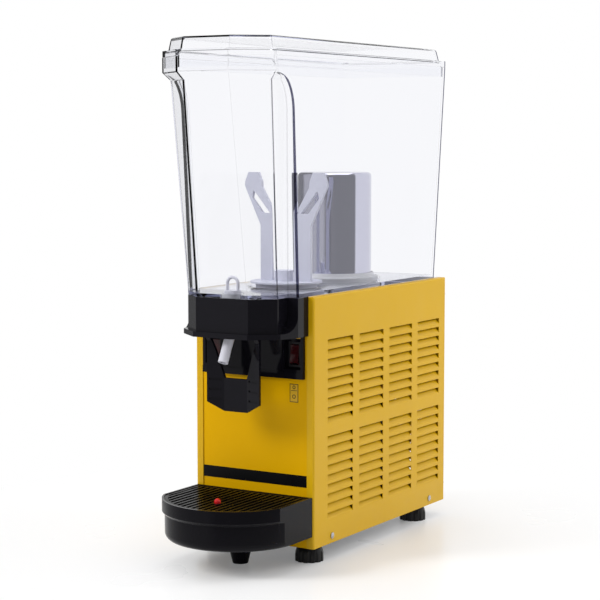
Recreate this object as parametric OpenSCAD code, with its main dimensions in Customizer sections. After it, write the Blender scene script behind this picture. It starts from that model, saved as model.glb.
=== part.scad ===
// Cold drink dispenser: a louvred steel cabinet with the cooling machine inside, a clear tank on top
// with a chilled cylinder and a magnetic stirrer, and a lever tap over a drip tray at the front.
// Millimetres. Pieces are drawn with Y = 0 at the cabinet's front face and Z = 0 at its underside,
// then placed so that the origin lies under the middle of the whole object, on the table.

/* [Cabinet] */
// Width of the cabinet
cab_w = 180; // [170:1:200]
// Depth of the cabinet
cab_d = 370; // [360:1:400]
// Height of the cabinet without its feet
cab_h = 323; // [315:1:345]
// Thickness of the painted sheet
sheet = 1; // [0.8:0.1:1.4]
// Outer radius of the sheet's bends
bend_r = 2.5; // [2:0.1:4]
// Width of the side panels' folded edges
fold_w = 10.5; // [9:0.5:12]
// Height of the base pan's upturned edge
pan_h = 14; // [12:0.5:18]

/* [Louvres] */
// Length of one louvre
louvre_len = 66; // [50:1:70]
// Height of one louvre
louvre_h = 8; // [6:0.5:9]
// How far a louvre is pressed in
louvre_in = 4.5; // [3:0.1:5]
// Distance between columns of louvres
louvre_col_step = 83; // [78:1:86]
// Front end of the first column
louvre_front = 35; // [30:1:40]
// Top edge of the first row below the cabinet's top
louvre_drop = 57; // [50:1:66]
// Lower edge of the last row above the cabinet's underside
louvre_low = 33; // [28:0.5:40]
// Columns of louvres on a side
louvre_cols = 4; // [1:1:4]
// Rows in each of the two groups
louvre_rows = 9; // [2:1:9]

/* [Feet] */
// Height of the feet
foot_h = 21; // [16:0.5:28]
// Diameter of a foot
foot_d = 37; // [32:0.5:42]
// Foot centre, in from the cabinet's side
foot_in_x = 21.5; // [21:0.5:28]
// Foot centre, behind the cabinet's front
foot_in_front = 25; // [23:0.5:34]
// Foot centre, ahead of the cabinet's rear
foot_in_rear = 57; // [40:0.5:70]
// Diameter of a foot's stud
stud_d = 8; // [6:0.5:10]

/* [Nose] */
// How far the nose stands out from the cabinet
nose_out = 74.2; // [72:0.2:80]
// Width of the nose's front face
nose_front_w = 78; // [70:1:84]
// Width of the nose behind its slanted corners
nose_side_w = 135; // [128:1:140]
// Width of the nose against the cabinet
nose_wide_w = 164; // [160:1:168]
// Where the slanted corners end, ahead of the cabinet
nose_corner_y = 50; // [46:0.5:54]
// Length of the widest stretch, ahead of the cabinet
nose_wide_y = 25; // [20:0.5:28]
// Height of the nose with its lower flange
nose_h = 50.2; // [48:0.1:56]
// Height of the lower flange
lip_h = 6.7; // [5:0.1:8]
// How far the lower flange stands out
lip_out = 4.4; // [2:0.1:6]
// Wall of the nose
nose_wall = 3; // [2.4:0.1:3.4]
// Thickness of the nose's top plate
nose_top_t = 4; // [3:0.1:5]

/* [Control panel] */
// Height of the control panel
fascia_h = 55.2; // [50:0.1:66]
// Control panel's sides, in from the side panels' folded edges
fascia_in = 2.7; // [0.5:0.1:5]
// How far the control panel stands out
fascia_out = 5; // [3:0.5:8]
// Height of the lip along the control panel's lower edge
fascia_lip = 8.5; // [6:0.5:10]
// Depth of the switch bays
bay_depth = 10; // [8:0.5:12]
// Width of a switch bay
bay_w = 25; // [22:0.5:28]
// Switch centre, in from the control panel's side
switch_in = 16.5; // [16:0.5:22]
// Width of a rocker
rocker_w = 12.2; // [11:0.1:13]
// Height of a rocker
rocker_h = 26; // [22:0.5:28]
// Angle a rocker tips from one side to the other
rocker_tip = 14; // [10:1:16]
// Height of the strip on the front
strip_h = 15; // [10:0.5:20]
// Height of the strip's lower edge
strip_z = 78.7; // [76:0.1:90]
// Width of the pictogram sticker
sticker_w = 12.6; // [10:0.1:16]
// Height of the pictogram sticker
sticker_h = 23.7; // [18:0.1:26]

/* [Drip tray] */
// Tray's sides, in from the cabinet's sides
tray_in = 2; // [0:0.5:8]
// How far the tray stands out
tray_out = 137; // [128:1:150]
// Radius of the tray's round front
tray_r = 95; // [90:0.5:104]
// Height of the tray's underside
tray_z = 14; // [10:0.5:24]
// Height of the tray
tray_h = 53; // [44:0.5:58]
// Wall of the tray
tray_wall = 2.5; // [2:0.1:3]
// How far the tray's rim stands out past its body
tray_lip = 3.5; // [2:0.1:5]
// Height of the tray's rim band
tray_band = 16; // [12:0.5:20]
// Radius of the tray's lower edge
tray_round = 10; // [6:0.5:14]
// Diameter of the foot of the tray's leg
tray_leg_d = 20; // [16:1:24]
// Thickness of the grille
grille_t = 4.5; // [3:0.1:6]
// Distance between the grille's bars
grille_step = 8.8; // [7:0.1:10]
// Width of a bar of the grille
bar_w = 3.6; // [3:0.1:4.5]
// Diameter of the float's red head
float_d = 8.6; // [7:0.1:10]

/* [Tank] */
// Height of the tank
tank_h = 298.7; // [285:0.1:310]
// Wall of the tank
tank_wall = 3.4; // [2.6:0.1:4]
// Thickness of the tank's floor
tank_floor = 4.5; // [4:0.1:6]
// Width of the tank at its floor
tank_w = 166; // [162:1:168]
// How much wider the tank is at its rim
tank_flare = 4; // [2:0.5:6]
// Rear wall at the floor, ahead of the cabinet's rear
tank_rear_in = 21; // [16:1:28]
// How far the rim reaches past the cabinet's rear
rim_past_rear = 7; // [3:0.5:10]
// How far the prow's front leans out under the rim
prow_lean = 33; // [24:1:40]
// How far the rim stands out round the prow
rim_out = 8.6; // [6:0.1:10]
// Height of the rim band
rim_h = 18.5; // [14:0.5:24]
// Height of the rim's sloped underside
rim_slope = 10; // [8:0.5:14]
// Radius of the tank's rear corners
tank_corner = 4; // [2:0.5:20]

/* [Lid] */
// Height of the lid's edge
lid_edge = 8.2; // [6:0.1:10]
// Height of the lid's raised top
lid_rise = 16; // [12:0.5:20]
// How far the raised top is set in
lid_in = 7; // [6:0.1:12]
// Thickness of the lid
lid_t = 2.4; // [2:0.1:3]
// Depth of the lid's inner skirt
skirt_h = 14; // [8:0.5:17]

/* [Cooling cylinder] */
// Diameter of the cooling cylinder
cyl_d = 101; // [92:1:104]
// Height of the cooling cylinder above the deck
cyl_h = 153; // [130:1:170]
// Centre of the cylinder, behind the cabinet's front
cyl_y = 205; // [203:1:212]
// Sheet of the cylinder
cyl_t = 0.8; // [0.6:0.1:1.2]
// Radius of the cylinder's top edge
cyl_round = 6; // [3:0.5:9]
// Diameter of the seal at the cylinder's foot
seal_d = 119; // [116:0.5:122]
// Height of the seal
seal_h = 16; // [12:0.5:20]
// Turns of the cooling coil
coil_turns = 8.5; // [6.5:1:9.5]
// Diameter of the coil's tube
coil_tube = 8; // [6:0.5:9]

/* [Stirrer] */
// Stirrer axis, behind the cabinet's front
stir_y = 79; // [76:1:82]
// Reach of the stirrer's arms
stir_reach = 62.5; // [56:0.5:64]
// Height of the arms above the stirrer's disc
arm_h = 142.5; // [120:0.5:150]
// Width of an arm
arm_w = 18.5; // [14:0.5:20]
// Thickness of an arm
arm_t = 5; // [4:0.5:8]
// Inner edge of an arm, from the axis
arm_in = 19.5; // [17:0.5:22]
// Diameter of the stirrer's disc
disc_d = 94; // [88:1:96]
// Thickness of the stirrer's disc
disc_t = 2.2; // [2:0.1:5]
// Depth of the well under the disc
well_depth = 12.3; // [11:0.1:14]
// Diameter of the pin that the stirrer turns on
stir_pin_d = 8; // [6:0.5:9]
// Diameter of the driven magnets
magnet_d = 13; // [10:0.5:14]

/* [Tap] */
// Plunger axis, ahead of the cabinet's front
tap_y = 48; // [46:0.5:50]
// Diameter of the plunger's chamber
chamber_d = 16; // [14:0.5:17]
// Wall of the tap's body
tap_wall = 3; // [2.5:0.1:3.5]
// Diameter of the nozzle
nozzle_d = 13; // [11:0.1:14]
// Bore of the nozzle
nozzle_bore = 9; // [7:0.1:9.5]
// Length of the nozzle along its slant
nozzle_len = 52.5; // [46:0.5:56]
// Slant of the nozzle from upright
nozzle_slant = 26.6; // [20:0.1:30]
// Outer width of the plunger's loop
loop_w = 20; // [16:0.5:22]
// Height of the plunger's loop above the tank's floor
loop_h = 22; // [18:0.5:26]
// Thickness of the loop's rod
loop_rod = 4.2; // [3.5:0.1:4.6]
// Lever pivot, ahead of the plunger's axis
pivot_out = 14; // [13:0.5:15]
// Lever pivot, below the nose's top
pivot_down = 27.5; // [26:0.5:29]
// Diameter of the lever's pin
pin_d = 4; // [3:0.5:5]
// Width of the lever
lever_w = 79; // [76:1:85]
// Width of the lever's middle facet
pad_w = 34.6; // [30:0.2:40]
// Lever's middle facet, ahead of the cabinet's front
pad_y = 43; // [41:0.5:45]
// How far the lever's side facets come forward
pad_dish = 6.5; // [4:0.5:8]
// Thickness of the lever
lever_t = 4.2; // [3.4:0.1:5]
// How far the lever reaches below the nose
lever_drop = 97.3; // [88:0.1:108]
// Height of the lever's pad up to its window
pad_h = 42.5; // [40:0.5:50]
// Angle that the lever swings
lever_swing = 12; // [8:1:13]

/* [Cooling machine] */
// Diameter of the compressor
comp_d = 112; // [100:1:120]
// Height of the compressor's shell
comp_h = 145; // [130:1:155]
// Compressor axis, ahead of the cabinet's rear
comp_in = 88; // [86:1:100]
// How far the condenser's fins end inside the cabinet's sides
cond_in = 24; // [22:0.5:30]
// Height of the condenser
cond_h = 152; // [140:1:160]
// Depth of the condenser
cond_d = 40; // [32:1:44]
// Diameter of the fan
fan_d = 116; // [100:1:120]
// Diameter of the fan's motor
fan_motor_d = 48; // [40:1:56]
// Diameter of the stirrer's gear motor
gear_motor_d = 60; // [50:1:66]
// Diameter of the pipes
pipe_d = 6; // [5:0.5:7]

/* [Fits] */
// Clearance between fitted sheets and mouldings
fit = 0.3; // [0.2:0.05:0.4]
// Radial running clearance of a shaft in its hole
run = 0.06; // [0.03:0.01:0.1]
// Diameter of the panel screws
screw_d = 4; // [3:0.5:5]

/* [Hidden] */
$fn = 72;

yellow = "#d3a40e";
black = "#1a1a1d";
white = "#e8e8f0";
clear = [0.9, 0.92, 0.98, 0.35];
steel = "silver";
zinc = "#a9adb3";
copper = "#b8733f";
over = 1;
half_w = cab_w / 2;
tray_front = -tray_out;
rim_rear = cab_d + rim_past_rear;
mid_y = (tray_front + rim_rear) / 2;

// Levels of the tank and of what stands under it
nose_top = cab_h + 0.5;
nose_z = nose_top - nose_h;
tank_z = nose_top + fit;
floor_z = tank_z + tank_floor;
rim_z = tank_z + tank_h;
rim_low = rim_z - rim_h;
slope_low = rim_low - rim_slope;
well_z = floor_z - well_depth;
well_r = disc_d / 2 + 1.5;
well_wall = 3;
seat_r = seal_d / 2 + fit;
seat_wall = 3;
disc_top = floor_z + 6.7;
fascia_top = nose_z - 0.1;
fascia_z = fascia_top - fascia_h;
lever_z = nose_z - lever_drop;

// Inner faces of the sheet cabinet
panel_y = sheet + 0.2;
front_back = panel_y + sheet;
rear_front = cab_d - panel_y - sheet;
inner_w = cab_w - 2 * sheet - 2 * fit;
panel_w = cab_w - 2 * bend_r;
front_w = cab_w - 2 * fold_w - 2 * fit;
fascia_w = front_w - 2 * fascia_in;
switch_x = fascia_w / 2 - switch_in;
tray_w = cab_w - 2 * tray_in;
deck_low = cab_h - sheet;
pan_front = front_back + fit;
pan_rear = rear_front - fit;

function lerp(a, b, t) = a + (b - a) * t;
function unit(v) = v / norm(v);
function left_of(v) = [-v[1], v[0]];
// A polygon moved in by d along all its edges; its points run anticlockwise
function inset(pts, d) = [for (i = [0 : len(pts) - 1])
    let (n = len(pts), p = pts[i])
    let (n1 = left_of(unit(p - pts[(i + n - 1) % n])), n2 = left_of(unit(pts[(i + 1) % n] - p)))
    p + d * (n1 + n2) / (1 + n1 * n2)];
// Points of a round of radius r at corner b between a and c
function fillet(a, b, c, r, n) = let (u = unit(a - b), v = unit(c - b), half = acos(u * v) / 2)
    let (q = b + unit(u + v) * r / sin(half), s = b + u * r / tan(half) - q, e = b + v * r / tan(half) - q)
    let (a0 = atan2(s[1], s[0]), da = atan2(s[0] * e[1] - s[1] * e[0], s * e))
    [for (i = [0 : n]) q + r * [cos(a0 + da * i / n), sin(a0 + da * i / n)]];
function rounded(pts, radii, n) = [for (i = [0 : len(pts) - 1])
    let (m = len(pts))
    each fillet(pts[(i + m - 1) % m], pts[i], pts[(i + 1) % m], radii[i], n)];
function mirrored(half) = concat(half, [for (i = [len(half) - 1 : -1 : 0]) [-half[i][0], half[i][1]]]);
function both(list) = concat(list, [for (i = [len(list) - 1 : -1 : 0]) list[i]]);
// Points of a spiral tube: rings of sides points along a helix about the Z axis
function helix_at(r, pitch, turn) = [r * cos(360 * turn), r * sin(360 * turn), pitch * turn];
function helix_rings(r, wire, pitch, turns, steps, sides) = [for (i = [0 : turns * steps])
    let (t = i / steps, c = helix_at(r, pitch, t), out = [cos(360 * t), sin(360 * t), 0])
    let (along = unit([-2 * PI * r * sin(360 * t), 2 * PI * r * cos(360 * t), pitch]))
    let (side = cross(out, along))
    [for (k = [0 : sides - 1]) c + wire * (cos(360 * k / sides) * out + sin(360 * k / sides) * side)]];
// Least gap between neighbouring turns of a spiral tube
function helix_gap(r, wire, pitch, steps) = min([for (i = [-steps / 2 : steps / 2])
    norm(helix_at(r, pitch, 1 + i / steps) - helix_at(r, pitch, 0))]) - 2 * wire;

module place() {
    translate([0, -mid_y, foot_h]) children();
}

module along_x(x0, x1) {
    translate([x0, 0, 0]) rotate([90, 0, 90]) linear_extrude(x1 - x0) children();
}

module along_y(y0, y1) {
    translate([0, y1, 0]) rotate([90, 0, 0]) linear_extrude(y1 - y0) children();
}

module along_z(z0, z1) {
    translate([0, 0, z0]) linear_extrude(z1 - z0) children();
}

module box(x0, x1, y0, y1, z0, z1) {
    translate([x0, y0, z0]) cube([x1 - x0, y1 - y0, z1 - z0]);
}

module rod_x(x0, x1, y, z, r) {
    translate([x0, y, z]) rotate([0, 90, 0]) cylinder(h = x1 - x0, r = r);
}

module rod_y(x, y0, y1, z, r) {
    translate([x, y1, z]) rotate([90, 0, 0]) cylinder(h = y1 - y0, r = r);
}

module rod_z(x, y, z0, z1, r) {
    translate([x, y, z0]) cylinder(h = z1 - z0, r = r);
}

// A closed skin over rings that all have the same number of points
module skin(rings) {
    n = len(rings[0]);
    m = len(rings);
    sides = [for (j = [0 : m - 2], i = [0 : n - 1], k = [0, 1])
        let (a = j * n + i, b = j * n + (i + 1) % n)
        k == 0 ? [a, a + n, b] : [b, a + n, b + n]];
    low = [[for (i = [0 : n - 1]) i]];
    high = [[for (i = [n - 1 : -1 : 0]) (m - 1) * n + i]];
    polyhedron([for (ring = rings) each ring], concat(low, sides, high));
}

// A closed skin over rings that follow one another round a wall's section, back to the first
module wall_skin(rings) {
    n = len(rings[0]);
    m = len(rings);
    sides = [for (j = [0 : m - 1], i = [0 : n - 1], k = [0, 1])
        let (i1 = (i + 1) % n, j1 = (j + 1) % m)
        let (a = j * n + i, b = j * n + i1, c = j1 * n + i, d = j1 * n + i1)
        k == 0 ? [a, c, b] : [b, c, d]];
    polyhedron([for (ring = rings) each ring], sides);
}

module spiral(r, wire, pitch, turns, steps, sides) {
    skin([for (ring = helix_rings(r, wire, pitch, turns, steps, sides))
        [for (i = [sides - 1 : -1 : 0]) ring[i]]]);
}

// How much thicker a pipe is at its elbows
elbow = 1.12;

// A bent pipe: straight runs with round elbows
module pipe(points, r) {
    for (i = [0 : len(points) - 2]) {
        run_of = points[i + 1] - points[i];
        translate(points[i])
            rotate([0, acos(run_of[2] / norm(run_of)), atan2(run_of[1], run_of[0])])
                cylinder(h = norm(run_of), r = r);
    }
    for (i = [1 : len(points) - 2]) {
        translate(points[i]) sphere(r = r * elbow);
    }
}

// Upright profile of a round body with a rounded top edge, for turning about Z
module round_top(r, z0, z1, edge) {
    translate([0, z0]) square([r - edge, z1 - z0]);
    translate([0, z0]) square([r, z1 - z0 - edge]);
    translate([r - edge, z1 - edge]) circle(edge);
}

// Cabinet block with bent upright and top edges; gap moves every face in
module cabinet_block(gap) {
    r = bend_r - gap;
    w = half_w - gap;
    intersection() {
        along_z(0, cab_h - gap) {
            for (x = [-1, 1], y = [gap + r, cab_d - gap - r]) {
                translate([x * (w - r), y]) circle(r);
            }
            translate([-w, gap + r]) square([2 * w, cab_d - 2 * gap - 2 * r]);
            translate([-w + r, gap]) square([2 * w - 2 * r, cab_d - 2 * gap]);
        }
        along_y(0, cab_d) {
            for (x = [-1, 1]) {
                translate([x * (w - r), cab_h - gap - r]) circle(r);
            }
            translate([-w, -over]) square([2 * w, cab_h - gap - r + over]);
            translate([-w + r, -over]) square([2 * w - 2 * r, cab_h - gap + over]);
        }
    }
}

// Heights of the louvres' top edges: two groups with one row left out between them
louvre_top = cab_h - louvre_drop;
louvre_row_step = (louvre_top - louvre_h - louvre_low) / (2 * louvre_rows);
louvre_slit = 2;
function louvre_group(g) = [for (i = [0 : louvre_rows - 1])
    louvre_top - louvre_row_step * (i + g * (louvre_rows + 1))];
low_zs = louvre_group(1);
louvre_zs = concat(louvre_group(0), low_zs);
louvre_ys = [for (i = [0 : louvre_cols - 1]) louvre_front + i * louvre_col_step];

// Openings of the louvres, drawn as length along the panel and height
module louvre_openings(starts, zs) {
    for (y = starts, z = zs) {
        translate([y, z - louvre_h]) square([louvre_len, louvre_h]);
    }
}

// Section of the pressed tongues: depth from the panel's outer face, and height
module louvre_tongues(face, zs) {
    for (z = zs) {
        polygon([[face, z - louvre_h], [face - louvre_in, z - louvre_slit],
            [face - louvre_in - sheet, z - louvre_slit], [face - sheet, z - louvre_h - sheet],
            [face, z - louvre_h - sheet]]);
    }
}

screw_ys = [46, cab_d - 48.4];
side_screw_z = pan_h - 4.3;

module side_panel() {
    color(yellow) place() {
        difference() {
            intersection() {
                difference() {
                    cabinet_block(0);
                    cabinet_block(sheet);
                    box(-half_w + sheet, half_w - sheet, sheet, cab_d - sheet, -over, over);
                }
                box(half_w - fold_w, half_w + over, -over, cab_d + over, 0, cab_h + over);
            }
            along_x(half_w - sheet - over, half_w + over) louvre_openings(louvre_ys, louvre_zs);
            for (y = screw_ys) {
                rod_x(half_w - sheet - over, half_w + over, y, side_screw_z, screw_d / 2 + run);
            }
            for (z = rear_screw_zs) {
                rod_y(rear_screw_x, cab_d - sheet - over, cab_d + over, z, screw_d / 2 + run);
            }
        }
        for (y = louvre_ys) {
            along_y(y + fit, y + louvre_len - fit) louvre_tongues(half_w, louvre_zs);
        }
    }
}

module side_panel_right() {
    side_panel();
}

module side_panel_left() {
    mirror([1, 0, 0]) side_panel();
}

hook_x = 45;
hook_w = 16;
hook_t = 3;
hook_drop = 8;
hook_z = tray_z + tray_h - 14;
tray_lift = hook_drop + 2;
bay_z = fascia_z + 12;
bay_wall = 2;
panel_edge = 1.5;
panel_low = 6;
panel_high = 4;

module front_panel() {
    color(yellow) place() difference() {
        box(-panel_w / 2, panel_w / 2, panel_y, front_back, 0, deck_low - fit);
        box(-fascia_w / 2 + panel_edge, fascia_w / 2 - panel_edge, 0, front_back + over,
            fascia_z + panel_low, fascia_top - panel_high);
        for (x = [-hook_x, hook_x]) {
            box(x - hook_w / 2 - fit, x + hook_w / 2 + fit, 0, front_back + over,
                hook_z - hook_drop - fit, hook_z + hook_t + tray_lift + fit);
        }
    }
}

rear_screw_x = half_w - fold_w / 2;
rear_screw_zs = [24, cab_h - 24];
rear_louvres = [-louvre_len - 6, 6];
gland_x = -50;
gland_z = 23;
gland_bore = 8;
gland_r = 6;
gland_lip = 2;
knob_x = half_w - 32;
knob_z = cab_h - 38;
knob_r = 4;

module rear_panel() {
    color(yellow) place() {
        difference() {
            box(-panel_w / 2, panel_w / 2, rear_front, rear_front + sheet, 0, deck_low - fit);
            translate([0, rear_front + sheet, 0]) rotate([0, 0, 180])
                along_y(-over, sheet + over) louvre_openings(rear_louvres, low_zs);
            rod_y(gland_x, rear_front - over, cab_d, gland_z, gland_r + run);
            rod_y(knob_x, rear_front - over, cab_d, knob_z, knob_r + fit);
            for (x = [-1, 1], z = rear_screw_zs) {
                rod_y(x * rear_screw_x, rear_front - over, cab_d, z, screw_d / 2 + run);
            }
        }
        for (x = rear_louvres) {
            along_x(x + fit, x + louvre_len - fit) louvre_tongues(rear_front + sheet, low_zs);
        }
    }
}

foot_spots = [for (x = [-1, 1], y = [foot_in_front, cab_d - foot_in_rear]) [x * (half_w - foot_in_x), y]];
comp_y = cab_d - comp_in;
comp_foot_x = 52;
comp_foot_y = 46;
comp_feet = [for (x = [-1, 1], y = [-1, 1]) [x * comp_foot_x, comp_y + y * comp_foot_y]];
grommet_h = 10;
grommet_r = 9;
bolt_r = 3;

module base_pan() {
    color(zinc) place() difference() {
        box(-inner_w / 2, inner_w / 2, pan_front, pan_rear, 0, pan_h);
        box(-inner_w / 2 + sheet, inner_w / 2 - sheet, pan_front + sheet, pan_rear - sheet,
            sheet, pan_h + over);
        for (p = foot_spots) {
            rod_z(p[0], p[1], -over, sheet + over, stud_d / 2 + run);
        }
        for (p = comp_feet) {
            rod_z(p[0], p[1], -over, sheet + over, bolt_r + run);
        }
        for (x = [-1, 1], y = screw_ys) {
            rod_x(x * half_w - 5, x * half_w + 5, y, side_screw_z, screw_d / 2 + run);
        }
    }
}

module top_deck() {
    color(yellow) place() difference() {
        box(-half_w + fold_w + fit, half_w - fold_w - fit, 0, cab_d, deck_low, cab_h);
        rod_z(0, stir_y, deck_low - over, cab_h + over, well_r + well_wall + 2);
        rod_z(0, cyl_y, deck_low - over, cab_h + over, cyl_d / 2 - 24);
    }
}

foam_h = 30;
foam_rear = rear_front - 44;
foam_front = stir_y + well_r + well_wall + 12;
tube_x = 12;

module deck_insulation() {
    color("#d8d2c0") place() difference() {
        box(-half_w + fold_w + 4, half_w - fold_w - 4, foam_front, foam_rear, deck_low - foam_h, deck_low);
        for (x = [-tube_x, tube_x]) {
            rod_z(x, cyl_y, deck_low - foam_h - over, deck_low + over, coil_tube / 2 + 2);
        }
    }
}

foot_gap = 0.2;
foot_edge_h = 8;
scallops = 12;
scallop_r = 3;

module foot(spot) {
    r = foot_d / 2;
    color(black) place() translate([spot[0], spot[1], -foot_h]) {
        difference() {
            rotate_extrude() {
                square([r, foot_edge_h]);
                intersection() {
                    translate([0, foot_edge_h]) scale(r / 10) circle(10);
                    translate([0, foot_edge_h - over]) square([r, foot_h - foot_edge_h + over - foot_gap]);
                }
            }
            for (i = [0 : scallops - 1]) {
                rotate([0, 0, i * 360 / scallops])
                    rod_z(r + scallop_r / 2, 0, -over, foot_h, scallop_r);
            }
        }
        rod_z(0, 0, foot_h - over, foot_h + pan_h - 2, stud_d / 2);
    }
}

module foot_front_left() {
    foot(foot_spots[0]);
}

module foot_rear_left() {
    foot(foot_spots[1]);
}

module foot_front_right() {
    foot(foot_spots[2]);
}

module foot_rear_right() {
    foot(foot_spots[3]);
}

screw_head_r = screw_d;
screw_head_h = 2.4;
screw_len = 7;

// Pan-head screw that points along -Z, with its head's underside at Z = 0
module pan_screw() {
    rotate_extrude() {
        intersection() {
            translate([0, screw_head_h - 2 * screw_head_r]) circle(2 * screw_head_r);
            square([screw_head_r, screw_head_h]);
        }
    }
    translate([0, 0, -screw_len]) cylinder(h = screw_len + screw_head_h / 2, r = screw_d / 2);
}

module side_screws() {
    color(steel) place() for (x = [-1, 1], y = screw_ys) {
        translate([x * half_w, y, side_screw_z]) rotate([0, x * 90, 0]) pan_screw();
    }
}

module rear_screws() {
    color(steel) place() for (x = [-1, 1], z = rear_screw_zs) {
        translate([x * rear_screw_x, cab_d, z]) rotate([-90, 0, 0]) pan_screw();
    }
}

nose_half = mirrored([[nose_front_w / 2, -nose_out], [nose_side_w / 2, -nose_corner_y],
    [nose_side_w / 2, 0]]);
lip_half = mirrored([[nose_front_w / 2 + 1.5, -nose_out - lip_out],
    [nose_side_w / 2 + 5.5, -nose_corner_y - lip_out / 2], [nose_wide_w / 2, -nose_wide_y],
    [nose_wide_w / 2, 0]]);
sweep_r = 21;
pivot_y = -tap_y - pivot_out;
pivot_z = nose_top - pivot_down;
ear_x = lever_w / 2 + 0.6;
ear_t = 3.6;

// Space inside the nose
module nose_room() {
    along_z(nose_z + nose_wall, nose_top - nose_top_t) polygon(inset(nose_half, nose_wall));
    box(-nose_wide_w / 2 + nose_wall, nose_wide_w / 2 - nose_wall, -nose_wide_y + nose_wall, -nose_wall,
        nose_z + nose_wall, nose_top - nose_top_t);
}

module nose_collar() {
    color(black) place() {
        difference() {
            union() {
                along_z(nose_z, nose_top) polygon(nose_half);
                along_z(nose_z, nose_z + lip_h) polygon(lip_half);
                intersection() {
                    along_z(nose_z, nose_top) polygon(lip_half);
                    along_x(-nose_wide_w / 2, nose_wide_w / 2) difference() {
                        translate([-nose_wide_y - sweep_r, nose_z]) square([nose_wide_y + sweep_r, nose_h]);
                        translate([-nose_wide_y - sweep_r, nose_z + lip_h + sweep_r]) circle(sweep_r);
                        translate([-nose_wide_y - sweep_r - over, nose_z + lip_h + sweep_r])
                            square([sweep_r + over, nose_h]);
                    }
                }
            }
            nose_room();
            box(-lever_w / 2 - 1, lever_w / 2 + 1, -nose_out + nose_wall, -tap_y + 16,
                nose_z - over, nose_z + nose_h / 2);
            rod_z(0, -tap_y, nose_z, nose_top + over, chamber_d / 2 + tap_wall + fit);
        }
        difference() {
            for (x = [-ear_x - ear_t, ear_x]) {
                box(x, x + ear_t, pivot_y - 5, pivot_y + 5, pivot_z - 5, nose_top - nose_top_t + over);
            }
            rod_x(-cab_w, cab_w, pivot_y, pivot_z, pin_d / 2 + run / 2);
        }
    }
}

module control_fascia() {
    w = fascia_w / 2;
    color(black) place() difference() {
        union() {
            box(-w, w, -fascia_out + 1, panel_y, fascia_z, fascia_top);
            box(-w, w, -fascia_out, panel_y, fascia_z, fascia_z + fascia_lip);
            box(-switch_x + bay_w / 2 + 1, switch_x - bay_w / 2 - 1, -fascia_out - 2, panel_y,
                fascia_z + fascia_lip + 2, fascia_top);
            for (x = [-switch_x, switch_x]) {
                box(x - bay_w / 2 - bay_wall, x + bay_w / 2 + bay_wall, 0, switch_y + bay_wall,
                    bay_z - bay_wall, fascia_top - panel_high - 1);
            }
        }
        for (x = [-switch_x, switch_x]) {
            box(x - bay_w / 2, x + bay_w / 2, -fascia_out - over, switch_y, bay_z, fascia_top + over);
            box(x - switch_w / 2 - fit, x + switch_w / 2 + fit, 0, cab_d, switch_z - switch_h / 2 - fit,
                switch_z + switch_h / 2 + fit);
        }
    }
}

switch_w = rocker_w + 3;
switch_h = rocker_h + 3;
switch_z = bay_z + 4 + switch_h / 2;
switch_y = bay_depth - fascia_out;
bezel = 2;
switch_depth = 22;
rocker_gap = 0.35;
rocker_y = switch_y + 3;

// Fixed frame of a rocker switch
module switch_body(x) {
    color(black) place() translate([x, 0, 0]) difference() {
        union() {
            box(-switch_w / 2 - 1.5, switch_w / 2 + 1.5, switch_y - bezel, switch_y,
                switch_z - switch_h / 2 - 1.5, switch_z + switch_h / 2 + 1.5);
            box(-switch_w / 2, switch_w / 2, switch_y - bezel, switch_y + switch_depth,
                switch_z - switch_h / 2, switch_z + switch_h / 2);
        }
        box(-rocker_w / 2 - rocker_gap, rocker_w / 2 + rocker_gap, switch_y - bezel - over, switch_y + 10,
            switch_z - rocker_h / 2 - rocker_gap, switch_z + rocker_h / 2 + rocker_gap);
        rod_x(-switch_w, switch_w, rocker_y, switch_z, 1 + run);
    }
}

module switch_body_left() {
    switch_body(-switch_x);
}

module switch_body_right() {
    switch_body(switch_x);
}

// Tipping key: two shallow flats that meet at the middle, tipped with its upper half pressed in
module rocker(x) {
    color("#5e0f18") place() translate([x, rocker_y, switch_z]) {
        intersection() {
            rotate([-rocker_tip / 2, 0, 0]) {
                along_x(-rocker_w / 2, rocker_w / 2) {
                    polygon([[-bezel - 4.6, rocker_h / 2], [-bezel - 3.2, 0], [-bezel - 4.6, -rocker_h / 2],
                        [2, -rocker_h / 2], [4, 0], [2, rocker_h / 2]]);
                }
            }
            along_x(-rocker_w, rocker_w) circle(rocker_h / 2);
        }
        rod_x(-rocker_w / 2 - 1, rocker_w / 2 + 1, 0, 0, 1);
    }
}

module rocker_left() {
    rocker(-switch_x);
}

module rocker_right() {
    rocker(switch_x);
}

strip_t = 0.4;
sticker_x = switch_x;
sticker_z = fascia_z - 7 - sticker_h;
sticker_t = 0.2;

module label_strip() {
    color(black) place()
        box(-front_w / 2, front_w / 2, panel_y - strip_t, panel_y, strip_z, strip_z + strip_h);
}

module pictogram_sticker() {
    color("gold") place() box(sticker_x - sticker_w / 2, sticker_x + sticker_w / 2,
        panel_y - sticker_t, panel_y, sticker_z, sticker_z + sticker_h);
}

tray_mid = -(tray_out - tray_r);
tray_top = tray_z + tray_h;
tray_rear = -0.6;
tray_slope = 4;
leg_taper = 9;
leg_y = tray_mid + 9;
ledge_w = 2.5;
grille_z = tray_top - grille_t - 0.8;

// Tray outline moved in by gap: a round front, and straight sides back to the cabinet
module tray_outline(gap) {
    r = tray_r - gap;
    intersection() {
        union() {
            translate([0, tray_mid]) circle(r);
            translate([-r, tray_mid]) square([2 * r, tray_rear - tray_mid]);
        }
        translate([-tray_w / 2 + gap, -tray_out]) square([tray_w - 2 * gap, tray_out + tray_rear - gap]);
    }
}

// A half profile turned round the front and drawn straight back to the cabinet
module tray_form() {
    translate([0, tray_mid, 0]) rotate([0, 0, 180]) rotate_extrude(angle = 180) children();
    along_y(tray_mid, tray_rear) {
        children();
        mirror([1, 0]) children();
    }
}

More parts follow.
